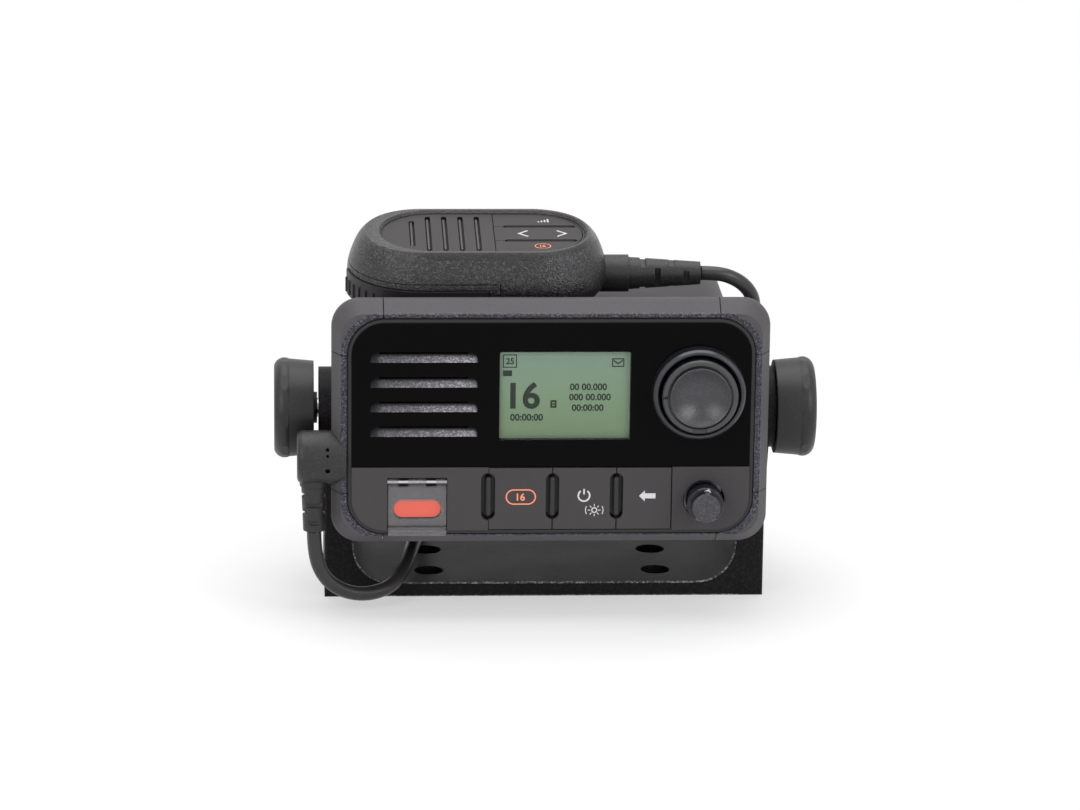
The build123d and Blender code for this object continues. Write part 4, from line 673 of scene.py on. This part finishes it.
cell_dark = finish("dark cells", (0.010, 0.017, 0.010), 0.45, pits=2400, bump=0.0, cloud=0.10, specular=0.2)
marks = [
    oblong(-0.0171, 0.1120, 0.0057, 0.0056), oblong(-0.0171, 0.1120, 0.0049, 0.0048),
    oblong(-0.0181, 0.1069, 0.0037, 0.0024),
    oblong(0.0008, 0.0939, 0.0025, 0.0032), oblong(0.0008, 0.0944, 0.0011, 0.0005),
    oblong(0.0008, 0.0933, 0.0011, 0.0005),
    oblong(0.0270, 0.1113, 0.0050, 0.0036), oblong(0.0270, 0.1113, 0.0041, 0.0027),
    [(0.0251, 0.11255), (0.0270, 0.1112), (0.0289, 0.11255),
     (0.0289, 0.1119), (0.0270, 0.1105), (0.0251, 0.1119)],
]
numbers = [
    ("25", 0.0026, -0.0171, 0.1120), ("16", 0.0110, -0.0108, 0.0975),
    ("00:00:00", 0.0029, -0.0101, 0.0883), ("00 00.000", 0.0028, 0.0150, 0.1011),
    ("000 00.000", 0.0028, 0.0157, 0.0968), ("00:00:00", 0.0028, 0.0148, 0.0923),
]
new_piece(
    "display_marks", flat_mesh("display_marks", marks, numbers), cell_dark, "radio",
    facing_front(glass_front - mark_rise),
)

# ================================================================ keypad
# A matte grey strip with three keys. Raised bars part the keys, each in an oval gloss-black
# groove, and the symbols are printed: a number in an orange oval, a power sign, a lamp, an arrow.
divider_middle, divider_pitch, divider_level = 0.00075, 0.02625, 0.0552
divider_count = 3
groove_length, groove_width = 0.0203, 0.0061
gap_depth = 0.0003


def gap_black_and_shade(tree, axes):
    """What lies behind the strip's face, painted near-black: partly its black plastic, partly painted shade
    in the gaps.
    """
    return worked(tree, "GREATER_THAN", axes["Y"], face_front + gap_depth)


def grooves(tree, axes):
    """The upright ovals round the dividing bars."""
    first = divider_middle - divider_count * divider_pitch / 2
    within = worked(tree, "WRAP", axes["X"], first + divider_pitch, first)
    across = worked(tree, "SUBTRACT", within, first + divider_pitch / 2)
    along = worked(tree, "SUBTRACT", axes["Z"], divider_level)
    inside = rounded_zone(tree, along, across, groove_length, groove_width)
    row = between(tree, axes["X"], first, first + divider_count * divider_pitch)
    return times(tree, inside, row)


gap_zones = [
    (gap_black_and_shade, (0.005, 0.005, 0.005), 0.25, 0.03),
    (grooves, (0.005, 0.0045, 0.005), 0.14, 0.03),
]
for name, zones, nodes in (
    ("key grey", gap_zones, ["keypad_panel"]), ("key top", (), ["key_sixteen", "key_power", "key_back"]),
):
    key_grey = finish(
        name, (0.050, 0.0455, 0.0485), 0.60, pits=2600, bump=0.10, cloud=0.05, speck=0.03, specular=0.25,
        zones=zones,
    )
    dress(key_grey, *nodes)


def grown(name, tree, **sizes):
    """What a tree of geometry nodes makes with its named sizes, as a plain mesh."""
    holder = placed(name, bpy.data.meshes.new(name))
    modifier = holder.modifiers.new(name, "NODES")
    modifier.node_group = tree
    for socket in tree.interface.items_tree:
        size = socket.name.replace(" ", "_").lower()
        if socket.in_out == "INPUT" and size in sizes:
            modifier[socket.identifier] = sizes[size]
    mesh = settled(holder)
    mesh.name = name
    return mesh


def end_with(tree, geometry, sink, material):
    """Ends a tree of geometry nodes: its instances are made real and given their material."""
    real = output_of(tree, "GeometryNodeRealizeInstances", Geometry=geometry)
    made = output_of(tree, "GeometryNodeSetMaterial", Geometry=real, Material=material)
    tree.links.new(made, sink["Geometry"])


def vector_of(tree, **axes):
    """A vector from its X, Y and Z."""
    return output_of(tree, "ShaderNodeCombineXYZ", **axes)


# Rounded bars in a row: a bar's radius falls to nothing at its ends, and each is pressed flat.
bars, bars_in, bars_out = new_group(
    "rounded bars", "GeometryNodeTree",
    {"Count": 3, "Pitch": 0.01, "Length": 0.01, "Width": 0.002, "Flattening": 0.5}, ("Geometry",),
)
spine_points, least_radius = 49, 0.02
bar_r = times(bars, bars_in["Width"], 0.5)
spine = output_of(
    bars, "GeometryNodeCurvePrimitiveLine",
    Start=vector_of(bars, Y=times(bars, bars_in["Length"], -0.5)),
    End=vector_of(bars, Y=times(bars, bars_in["Length"], 0.5)),
)
points = output_of(bars, "GeometryNodeResampleCurve", Curve=spine, Count=spine_points)
along = bars.nodes.new("GeometryNodeSplineParameter").outputs["Length"]
to_end = worked(bars, "MINIMUM", along, worked(bars, "SUBTRACT", bars_in["Length"], along))
short = worked(bars, "SUBTRACT", 1.0, worked(bars, "MINIMUM", worked(bars, "DIVIDE", to_end, bar_r), 1.0))
round_end = worked(bars, "SQRT", worked(bars, "SUBTRACT", 1.0, times(bars, short, short)))
swollen = output_of(
    bars, "GeometryNodeSetCurveRadius", Curve=points,
    Radius=worked(bars, "MAXIMUM", round_end, least_radius),
)
ring = output_of(bars, "GeometryNodeCurvePrimitiveCircle", Resolution=16, Radius=bar_r)
bar = output_of(
    bars, "GeometryNodeCurveToMesh", Curve=swollen, Profile_Curve=ring, Fill_Caps=True,
    Scale=output_of(bars, "GeometryNodeInputRadius"),
)
pressed = output_of(
    bars, "GeometryNodeTransform", Geometry=bar,
    Scale=vector_of(bars, X=1.0, Y=1.0, Z=bars_in["Flattening"]),
)
gaps = worked(bars, "SUBTRACT", bars_in["Count"], 1.0)
half_row = times(bars, gaps, -0.5, bars_in["Pitch"])
row = output_of(
    bars, "GeometryNodeMeshLine", Count=bars_in["Count"], Start_Location=vector_of(bars, X=half_row),
    Offset=vector_of(bars, X=bars_in["Pitch"]),
)
lined_up = output_of(bars, "GeometryNodeInstanceOnPoints", Points=row, Instance=pressed)
bar_black = finish("bar black", (0.014, 0.013, 0.014), 0.30, pits=2200, bump=0.04, specular=0.45)
end_with(bars, lined_up, bars_out, bar_black)
divider_bars = grown(
    "divider_bars", bars, count=divider_count, pitch=divider_pitch, length=0.0162, width=0.0019,
    flattening=0.62,
)
new_piece(
    "divider_bars", divider_bars, bar_black, "radio",
    Matrix.Translation((divider_middle, 0, divider_level)) @ facing_front(face_front),
)

print_white = finish("white print", (0.62, 0.62, 0.63), 0.5, pits=2600, bump=0.05, cloud=0.06)
print_orange = finish("orange print", (1.0, 0.30, 0.17), 0.5, pits=2600, bump=0.05, cloud=0.06)
print_thickness, print_rise = 0.00006, 0.00002


def arc(x, y, radius, start, end, steps):
    """The points of an arc from one angle to another, in degrees."""
    turns = [math.radians(start + (end - start) * k / steps) for k in range(steps + 1)]
    return [(x + radius * math.cos(turn), y + radius * math.sin(turn)) for turn in turns]


def oval(x, y, width, height):
    """A level slot's outline, round its centre."""
    half = (width - height) / 2
    return arc(x + half, y, height / 2, -90, 90, 14) + arc(x - half, y, height / 2, 90, 270, 14)


def open_ring(x, y, radius, width, start, end):
    """An open ring's outline, from one angle to another in degrees."""
    return arc(x, y, radius + width / 2, start, end, 28) + arc(x, y, radius - width / 2, end, start, 28)


def power_sign(x, y, size, width):
    """A broken ring with a bar in its gap."""
    return [open_ring(x, y, size / 2, width, 125, 415), oblong(x, y + size * 0.36, width, size * 0.5)]


def ray_outlines(x, y, inner, outer, width, count):
    """Short strokes that stand round a point."""
    rays = []
    for turn in round_points(count):
        way = Vector((math.cos(turn), math.sin(turn)))
        side = Vector((-way.y, way.x)) * width / 2
        rays.append([tuple(Vector((x, y)) + way * reach + side * s)
                     for reach, s in ((inner, -1), (outer, -1), (outer, 1), (inner, 1))])
    return rays


lamp_place = (0.0180, 0.0493)
lamp_sign = [open_ring(*lamp_place, 0.0010, 0.0005, 0, 359)]
lamp_sign += ray_outlines(*lamp_place, 0.0016, 0.0026, 0.0004, 8)
lamp_sign += [open_ring(*lamp_place, 0.0036, 0.0004, middle - 28, middle + 28) for middle in (0, 180)]
printed = [
    ("mark_sixteen", "key_sixteen", print_orange,
     [oval(-0.0122, 0.0550, 0.0125, 0.0066), oval(-0.0122, 0.0550, 0.0114, 0.0055)],
     [("16", 0.0031, -0.0122, 0.0550)]),
    ("mark_power", "key_power", print_white, power_sign(0.0137, 0.0555, 0.0047, 0.0007) + lamp_sign, []),
    ("mark_back", "key_back", print_white,
     [[(0.0363, 0.0553), (0.0387, 0.0577), (0.0387, 0.0564), (0.0431, 0.0564), (0.0431, 0.0542),
       (0.0387, 0.0542), (0.0387, 0.0529)]], []),
]


def print_on(printing, place):
    """Prints a list of symbols, each on its own key."""
    for name, body, ink, outlines, numerals in printing:
        new_piece(name, flat_mesh(name, outlines, numerals, print_thickness), ink, body, place)


print_on(printed, facing_front(face_front - print_rise))

# ================================================================ distress key
# A red oval key under a sprung flap of frosted clear plastic with a polished window over the key.
# The flap's barrels turn on a steel pin at its top.
flap_middle, flap_foot, flap_head = -0.0546, 0.0411, 0.0595
pill_level, pill_length, pill_width = 0.0496, 0.0197, 0.0074
lip_rise, lip_half = 0.0016, 0.00035
frost_alpha, clear_alpha, lip_alpha = 0.30, 0.05, 0.9
barrel_clearness = 0.55
red = finish("distress red", (0.86, 0.13, 0.085), 0.38, pits=2600, bump=0.08, cloud=0.05, specular=0.3)
dress(red, "distress_button")
frosted = finish(
    "frosted clear", (0.27, 0.26, 0.27), 0.24, pits=2000, bump=0.40, cloud=0.06, speck=0.12, specular=0.35,
)
dress(frosted, "distress_cover")
tree, shader, spot, axes = opened(frosted)
over_key = rounded_zone(
    tree, worked(tree, "SUBTRACT", axes["X"], flap_middle), worked(tree, "SUBTRACT", axes["Z"], pill_level),
    pill_length, pill_width,
)
barrels = times(tree, worked(tree, "GREATER_THAN", axes["Z"], flap_head), barrel_clearness)
clear = worked(tree, "MAXIMUM", over_key, barrels)
veil = ranged(tree, clear, 0.0, 1.0, frost_alpha, clear_alpha)
lip_level = flap_foot + lip_rise
lip = between(tree, axes["Z"], lip_level - lip_half, lip_level + lip_half)
lay_over(tree, shader, "Base Color", lip, (0.03, 0.03, 0.032))
opacity = worked(tree, "MAXIMUM", veil, times(tree, lip, lip_alpha))
tree.links.new(opacity, shader.inputs["Alpha"])
dress(steel, "cover_pin")

# ================================================================ main knob
# A grey cap that turns and presses, with a fine textured face, a groove, and a flat ring with
# two notches, inside a satin collar that is pressed into the fascia.
main_place = (0.0600, 0.0993)
main_face_r, flange_r = 0.0125, 0.0134
edge_r = 0.00015
dish_r = 0.013
flange_front = -0.0809
flange_skin = 0.0001


def from_axis(tree, axes, x, z):
    """How far a place is from a knob's axis."""
    squares = []
    for axis, middle in (("X", x), ("Z", z)):
        off = worked(tree, "SUBTRACT", axes[axis], middle)
        squares.append(times(tree, off, off))
    return worked(tree, "SQRT", worked(tree, "ADD", *squares))


def beside_face(tree, axes):
    """Everything outside the knob's round face."""
    return worked(tree, "GREATER_THAN", from_axis(tree, axes, *main_place), main_face_r - edge_r)


def flange_ring(tree, axes):
    """The flat ring's front, outside the groove."""
    outside = worked(tree, "GREATER_THAN", from_axis(tree, axes, *main_place), flange_r - flange_skin)
    return times(tree, outside, worked(tree, "LESS_THAN", axes["Y"], flange_front + flange_skin))


main_grey = finish(
    "main knob grey", (0.018, 0.018, 0.023), 0.30, pits=2100, bump=0.35, cloud=0.08, speck=0.35,
    specular=0.70, zones=[
        (beside_face, (0.006, 0.0065, 0.011), 0.20, 0.35), (flange_ring, (0.030, 0.028, 0.028), 0.45, 0.0),
    ],
)
dress(main_grey, "main_knob")
# The face is flat in the CAD. Its shading is tilted as a shallow round dish would be.
tree, shader, spot, axes = opened(main_grey)
off_axis = worked(tree, "MINIMUM", from_axis(tree, axes, *main_place), main_face_r)
dished = output_of(
    tree, "ShaderNodeBump", Distance=1.0, Strength=1.0, Normal=shader.inputs["Normal"].links[0].from_socket,
    Height=worked(tree, "DIVIDE", times(tree, off_axis, off_axis), 2 * dish_r),
)
tree.links.new(dished, shader.inputs["Normal"])
collar_satin = finish(
    "collar satin", (0.012, 0.0125, 0.017), 0.24, pits=2200, bump=0.08, cloud=0.12, speck=0.15,
    specular=0.65, ease=0.0007,
)
dress(collar_satin, "knob_collar")

# ================================================================ volume knob
# A small black gloss cap with a grey grained face. A slope joins the face to its foot, and a
# white wedge is printed on the gloss above it.
volume_place = (0.0630, 0.0534)
volume_face, volume_shoulder = -0.0840, -0.0806
slope_top, slope_half = -0.0040, 0.0046
face_depth, shoulder_skin = 0.0002, 0.0001


def gloss_band(tree, axes):
    """The gloss round the face and above the slope."""
    beside = worked(tree, "GREATER_THAN", axes["Y"], volume_face + face_depth)
    level = worked(tree, "SUBTRACT", axes["Z"], volume_place[1])
    across = worked(tree, "SUBTRACT", axes["X"], volume_place[0])
    slope = times(
        tree, worked(tree, "LESS_THAN", level, slope_top), between(tree, across, -slope_half, slope_half),
        worked(tree, "LESS_THAN", axes["Y"], volume_shoulder - shoulder_skin),
    )
    return times(tree, beside, worked(tree, "SUBTRACT", 1.0, slope))


volume_grey = finish(
    "volume knob grey", (0.040, 0.039, 0.045), 0.38, pits=1900, bump=0.14, cloud=0.08, speck=0.30,
    specular=0.45, ease=0.0005, zones=[(gloss_band, (0.005, 0.0055, 0.010), 0.12, 0.0)],
)
dress(volume_grey, "volume_knob")
wedge = [(0.0622, 0.0597), (0.0643, 0.0606), (0.0653, 0.0589), (0.0641, 0.0595)]
print_on(
    [("mark_volume", "volume_knob", print_white, [wedge], [])],
    facing_front(volume_shoulder - print_rise),
)

# ================================================================ behind the front
# Turned shafts that slide in moulded rotors, the switches round them, the boards, and the
# loudspeaker with its pressed basket and ferrite magnet.
dress(steel, "main_shaft", "volume_shaft")
inner_black = finish("inner black", (0.022, 0.022, 0.022), 0.5, pits=1600, bump=0.10)
dress(inner_black, "main_rotor", "volume_rotor", "mic_socket")
switch_metal = finish("switch metal", (0.42, 0.42, 0.43), 0.36, pits=2400, bump=0.05, metallic=0.9)
dress(switch_metal, "main_encoder", "volume_encoder")
speaker_black = finish("speaker black", (0.016, 0.016, 0.017), 0.62, pits=1100, bump=0.25, cloud=0.15)
dress(speaker_black, "speaker", "mic_speaker")
dress(rubber, "case_gasket")
track_pitch, track_share = 0.0022, 0.10
board_green = finish("board green", (0.010, 0.085, 0.035), 0.38, pits=2600, bump=0.06, cloud=0.18)
tree, shader, spot, axes = opened(board_green)
tracks = add_node(
    tree, "ShaderNodeTexVoronoi", feature="DISTANCE_TO_EDGE", Vector=spot, Scale=1 / track_pitch,
)
track = worked(tree, "LESS_THAN", tracks.outputs["Distance"], track_share)
lay_over(tree, shader, "Base Color", track, (0.020, 0.150, 0.060))
dress(board_green, "front_board", "radio_board", "mic_board")

# ================================================================ case and heat sink
# A black moulded case closed by a black-painted cast heat sink, held by four cross-head screws.
# The sink's casting grain is coarser than the moulded grain.
case_black = finish(
    "case black", (0.015, 0.0145, 0.0155), 0.52, pits=1500, bump=0.20, cloud=0.12, specular=0.30,
    ease=0.0006,
)
dress(case_black, "rear_case")
cast_black = finish(
    "cast black", (0.014, 0.014, 0.0145), 0.46, pits=900, bump=0.35, cloud=0.16, speck=0.10,
    specular=0.35, ease=0.0005,
)
dress(cast_black, "heat_sink")

# A screw: a round head cut by a cross, on its shank, once at each corner of an oblong.
screws, screws_in, screws_out = new_group(
    "cross-head screws", "GeometryNodeTree",
    {"Head radius": 0.004, "Head height": 0.0024, "Shank radius": 0.002, "Shank length": 0.01,
     "Cross length": 0.004, "Cross width": 0.0009, "Spread X": 0.1, "Spread Y": 0.05}, ("Geometry",),
)
head_taper = 0.82
head_r, head_height = screws_in["Head radius"], screws_in["Head height"]
cross_length, cross_width = screws_in["Cross length"], screws_in["Cross width"]
head_blank = output_of(
    screws, "GeometryNodeMeshCone", Vertices=32, Radius_Top=times(screws, head_r, head_taper),
    Radius_Bottom=head_r, Depth=head_height,
)
cross = add_node(screws, "GeometryNodeJoinGeometry")
for length, width in ((cross_length, cross_width), (cross_width, cross_length)):
    arm = output_of(screws, "GeometryNodeMeshCube", Size=vector_of(screws, X=length, Y=width, Z=head_height))
    raised = output_of(
        screws, "GeometryNodeTransform", Geometry=arm,
        Translation=vector_of(screws, Z=head_height),
    )
    screws.links.new(raised, cross.inputs[0])
cut = output_of(
    screws, "GeometryNodeMeshBoolean", operation="DIFFERENCE", solver="EXACT", Self_Intersection=True,
    Mesh_1=head_blank, Mesh_2=cross.outputs[0],
)
shank = output_of(
    screws, "GeometryNodeMeshCylinder", Vertices=24, Radius=screws_in["Shank radius"],
    Depth=screws_in["Shank length"],
)
shank_half = times(screws, screws_in["Shank length"], 0.5)
shank_middle = worked(screws, "SUBTRACT", times(screws, head_height, 0.25), shank_half)
lowered = output_of(
    screws, "GeometryNodeTransform", Geometry=shank,
    Translation=vector_of(screws, Z=shank_middle),
)
screw = add_node(screws, "GeometryNodeJoinGeometry")
screws.links.new(cut, screw.inputs[0])
screws.links.new(lowered, screw.inputs[0])
seats = output_of(
    screws, "GeometryNodeMeshGrid", Size_X=screws_in["Spread X"], Size_Y=screws_in["Spread Y"],
    Vertices_X=2, Vertices_Y=2,
)
driven = output_of(screws, "GeometryNodeInstanceOnPoints", Points=seats, Instance=screw.outputs[0])
end_with(screws, driven, screws_out, steel)

sink_back, sink_level = 0.045, 0.083
facing_back = Matrix(((1, 0, 0, 0), (0, 0, 1, 0), (0, -1, 0, 0), (0, 0, 0, 1)))
case_screws = grown(
    "case_screw_heads", screws, head_radius=0.0040, head_height=0.0024, shank_radius=0.0020,
    shank_length=0.0140, cross_length=0.0046, cross_width=0.0010, spread_x=0.140, spread_y=0.068,
)
screw_heads = new_piece(
    "case_screw_heads", case_screws, steel, "radio",
    Matrix.Translation((0, sink_back, sink_level)) @ facing_back,
)
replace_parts(screw_heads, "case_screws")

# ================================================================ rear sockets
# The antenna's plated barrel carries a screw thread and a white insulator; the power and data
# inlets are black, with plated pins.
sockets_x = -0.058
antenna_level, power_level, data_level = 0.104, 0.081, 0.061
barrel_r, thread_depth, thread_pitch = 0.00794, 0.00045, 0.00106
thread_start, thread_length = 0.0033, 0.0100
barrel_length, bore_r, bore_floor = 0.0140, 0.00525, 0.0130
pins_middle, pin_length = 0.0042, 0.0052


def turned(name, profile, x, y, z, sides=48):
    """A closed profile of radius and reach, turned round a line that runs to the rear."""
    made = bmesh.new()
    rings = [
        [made.verts.new((x + r * math.cos(t), y + reach, z + r * math.sin(t))) for t in round_points(sides)]
        if r > 0 else [made.verts.new((x, y + reach, z))]
        for r, reach in profile
    ]
    for ring, following in zip(rings, rings[1:]):
        for k in range(sides):
            near, far = ring[k % len(ring)], ring[(k + 1) % len(ring)]
            other_near, other_far = following[k % len(following)], following[(k + 1) % len(following)]
            made.faces.new(list(dict.fromkeys((near, far, other_far, other_near))))
    bmesh.ops.remove_doubles(made, verts=made.verts, dist=weld_gap)
    bmesh.ops.recalc_face_normals(made, faces=made.faces)
    return as_mesh(name, made)


def on_sink(reach, level):
    """Puts a shape drawn round Z on the sockets' line, its Z to the rear."""
    return Matrix.Translation((sockets_x, sink_back + reach, level)) @ facing_back


thread, thread_in, thread_out = new_group(
    "screw thread", "GeometryNodeTree", {"Radius": 0.008, "Turns": 8.0, "Length": 0.01, "Depth": 0.0005},
    ("Geometry",),
)
ridge_line = output_of(
    thread, "GeometryNodeCurveSpiral", Resolution=40, Rotations=thread_in["Turns"],
    Start_Radius=thread_in["Radius"], End_Radius=thread_in["Radius"], Height=thread_in["Length"],
)
ridge_form = output_of(thread, "GeometryNodeCurvePrimitiveCircle", Resolution=4, Radius=thread_in["Depth"])
ridge = output_of(
    thread, "GeometryNodeCurveToMesh", Curve=ridge_line, Profile_Curve=ridge_form,
    Fill_Caps=True,
)
nickel = finish(
    "nickel", (0.52, 0.50, 0.45), 0.30, pits=2400, bump=0.03, cloud=0.06, metallic=1.0, ease=0.0002,
)
end_with(thread, ridge, thread_out, nickel)
core_r, flange_end_r = barrel_r - thread_depth, barrel_r + 0.0025
barrel = turned(
    "antenna_barrel",
    [(0, 0), (flange_end_r, 0), (flange_end_r, 0.0016), (barrel_r, 0.0022), (core_r, 0.0030),
     (core_r, 0.0136), (core_r - 0.0005, barrel_length), (bore_r, barrel_length), (bore_r, bore_floor),
     (0, bore_floor)],
    sockets_x, sink_back, antenna_level,
)
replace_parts(new_piece("antenna_barrel", barrel, nickel, "radio"), "antenna_socket")
ridges = grown(
    "antenna_thread", thread, radius=core_r, turns=thread_length / thread_pitch, length=thread_length,
    depth=thread_depth,
)
new_piece("antenna_thread", ridges, nickel, "radio", on_sink(thread_start, antenna_level))
insulator_white = finish("insulator white", (0.70, 0.69, 0.66), 0.45, pits=1800, bump=0.06)
insulator = turned(
    "antenna_insulator",
    [(0.0021, bore_floor), (0.0050, bore_floor), (0.0050, 0.0135), (0.0021, 0.0135), (0.0021, bore_floor)],
    sockets_x, sink_back, antenna_level,
)
new_piece("antenna_insulator", insulator, insulator_white, "radio")
socket_black = finish("socket black", (0.020, 0.020, 0.021), 0.40, pits=1700, bump=0.12, ease=0.0004)
dress(socket_black, "power_inlet", "data_inlet")

pins, pins_in, pins_out = new_group(
    "contact pins", "GeometryNodeTree",
    {"Count": 5, "Ring radius": 0.003, "Pin radius": 0.0005, "Pin length": 0.005}, ("Geometry",),
)
pin_ring = output_of(pins, "GeometryNodeMeshCircle", Vertices=pins_in["Count"], Radius=pins_in["Ring radius"])
pin = output_of(
    pins, "GeometryNodeMeshCylinder", Vertices=16, Radius=pins_in["Pin radius"], Depth=pins_in["Pin length"],
)
planted = output_of(pins, "GeometryNodeInstanceOnPoints", Points=pin_ring, Instance=pin)
end_with(pins, planted, pins_out, nickel)
for name, level, count, ring_r, pin_r in (
    ("power_pins", power_level, 4, 0.0041, 0.00075), ("data_pins", data_level, 5, 0.0030, 0.00045),
):
    mesh = grown(name, pins, count=count, ring_radius=ring_r, pin_radius=pin_r, pin_length=pin_length)
    new_piece(name, mesh, nickel, "radio", on_sink(pins_middle, level))

# ================================================================ microphone plug
# A right-angle plug moulded in one with its notched strain relief, in the cord's satin compound
# with a fine sparkle.
plug_black = finish(
    "plug black", (0.022, 0.0205, 0.0215), 0.40, pits=1900, bump=0.28, cloud=0.10, speck=0.20,
    specular=0.35, ease=0.0005,
)
dress(plug_black, "mic_plug", "plug_relief", "mic_relief")

# ================================================================ microphone
# A fist microphone: a black grained shell with a polished dished rim, a grey panel with ridged
# sound slots, two keys and a rocker, a ribbed talk button, and a hanger stud on its back.
mic_place = (-0.0288, -0.0170, 0.12828)
mic_lean = math.radians(8)
panel_top, panel_skin, bar_sink = 0.0256, 0.0002, 0.0009
rim_middle, rim_length, rim_width, rim_foot = 0.0025, 0.0930, 0.0540, 0.0200
on_microphone = Matrix.Translation(mic_place) @ Matrix.Rotation(mic_lean, 4, "X")


def in_microphone(tree):
    """Places measured on the microphone's own tilted plane."""
    turn = output_of(
        tree, "ShaderNodeMapping", vector_type="TEXTURE", Location=mic_place, Rotation=(mic_lean, 0, 0),
        Vector=tree.nodes.new("ShaderNodeTexCoord").outputs["Object"],
    )
    return add_node(tree, "ShaderNodeSeparateXYZ", Vector=turn).outputs


def dished_rim(tree, axes):
    """The polished rim and wall round the panel."""
    own = in_microphone(tree)
    along = worked(tree, "SUBTRACT", own["X"], rim_middle)
    within = rounded_zone(tree, along, own["Y"], rim_length, rim_width)
    return times(tree, within, worked(tree, "GREATER_THAN", own["Z"], rim_foot))


shell_black = finish(
    "shell black", (0.014, 0.0135, 0.015), 0.33, pits=1700, bump=0.75, cloud=0.10, speck=1.3, specular=0.50,
    ease=0.0004, zones=[(dished_rim, (0.006, 0.0055, 0.0065), 0.16, 0.0)],
)
dress(shell_black, "mic_front_shell")
shell_back = finish(
    "shell back", (0.014, 0.0135, 0.0145), 0.46, pits=1500, bump=0.30, cloud=0.10, speck=0.12, specular=0.35,
)
dress(shell_back, "mic_rear_shell")
talk_rubber = finish(
    "talk rubber", (0.012, 0.0115, 0.012), 0.45, pits=1700, bump=0.14, cloud=0.12, specular=0.35, ease=0.0004,
)
dress(talk_rubber, "mic_talk_button")
panel_grey = finish(
    "panel grey", (0.040, 0.0365, 0.0385), 0.55, pits=2600, bump=0.10, cloud=0.06, specular=0.25,
)
dress(panel_grey, "mic_panel", "mic_key_sixteen", "mic_rocker", "mic_key_power")
tree, shader, spot, axes = opened(panel_grey)
# Painted shade: the panel's surfaces below its top, in the slots and round the keys, are painted nearly
# black.
sunk = worked(tree, "LESS_THAN", in_microphone(tree)["Z"], panel_top - panel_skin)
lay_over(tree, shader, "Base Color", sunk, (0.010, 0.009, 0.010))

slots_place = (-0.0136, 0.0006, panel_top - bar_sink)
slot_bars = grown("sound_slot_bars", bars, count=5, pitch=0.0068, length=0.0345, width=0.0014, flattening=0.8)
slot_grey = finish("slot grey", (0.034, 0.031, 0.033), 0.36, pits=2200, bump=0.06)
new_piece(
    "sound_slot_bars", slot_bars, slot_grey, "microphone",
    on_microphone @ Matrix.Translation(slots_place),
)
chevrons = [
    [(0.0166, 0.0), (0.0206, 0.0036), (0.0212, 0.0030), (0.0179, 0.0), (0.0212, -0.0030), (0.0206, -0.0036)],
    [(0.0374, 0.0), (0.0334, 0.0036), (0.0328, 0.0030), (0.0361, 0.0), (0.0328, -0.0030), (0.0334, -0.0036)],
]
level_bars = [oblong(0.0260 + 0.0013 * k, 0.0135 + 0.0004 * k, 0.0007, 0.0010 + 0.0008 * k) for k in range(4)]
mic_printed = [
    ("mark_rocker", "mic_rocker", print_white, chevrons, []),
    ("mark_level", "mic_key_power", print_white, level_bars, []),
    ("mark_sixteen_small", "mic_key_sixteen", print_orange,
     [oval(0.0265, -0.0142, 0.0068, 0.0052), oval(0.0265, -0.0142, 0.0060, 0.0044)],
     [("16", 0.0021, 0.0265, -0.0142)]),
]
print_on(mic_printed, on_microphone @ Matrix.Translation((0, 0, panel_top + print_rise)))
dress(brass, "mic_stud")
heads_level = 0.0017
facing_down = Matrix.Rotation(math.pi, 4, "X")
mic_screws = grown(
    "mic_screw_heads", screws, head_radius=0.00295, head_height=0.0015, shank_radius=0.0010,
    shank_length=0.0003, cross_length=0.0034, cross_width=0.0008, spread_x=0.070, spread_y=0.043,
)
mic_heads = new_piece(
    "mic_screw_heads", mic_screws, steel, "microphone",
    on_microphone @ Matrix.Translation((0, 0, heads_level)) @ facing_down,
)
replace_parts(mic_heads, "mic_screws")
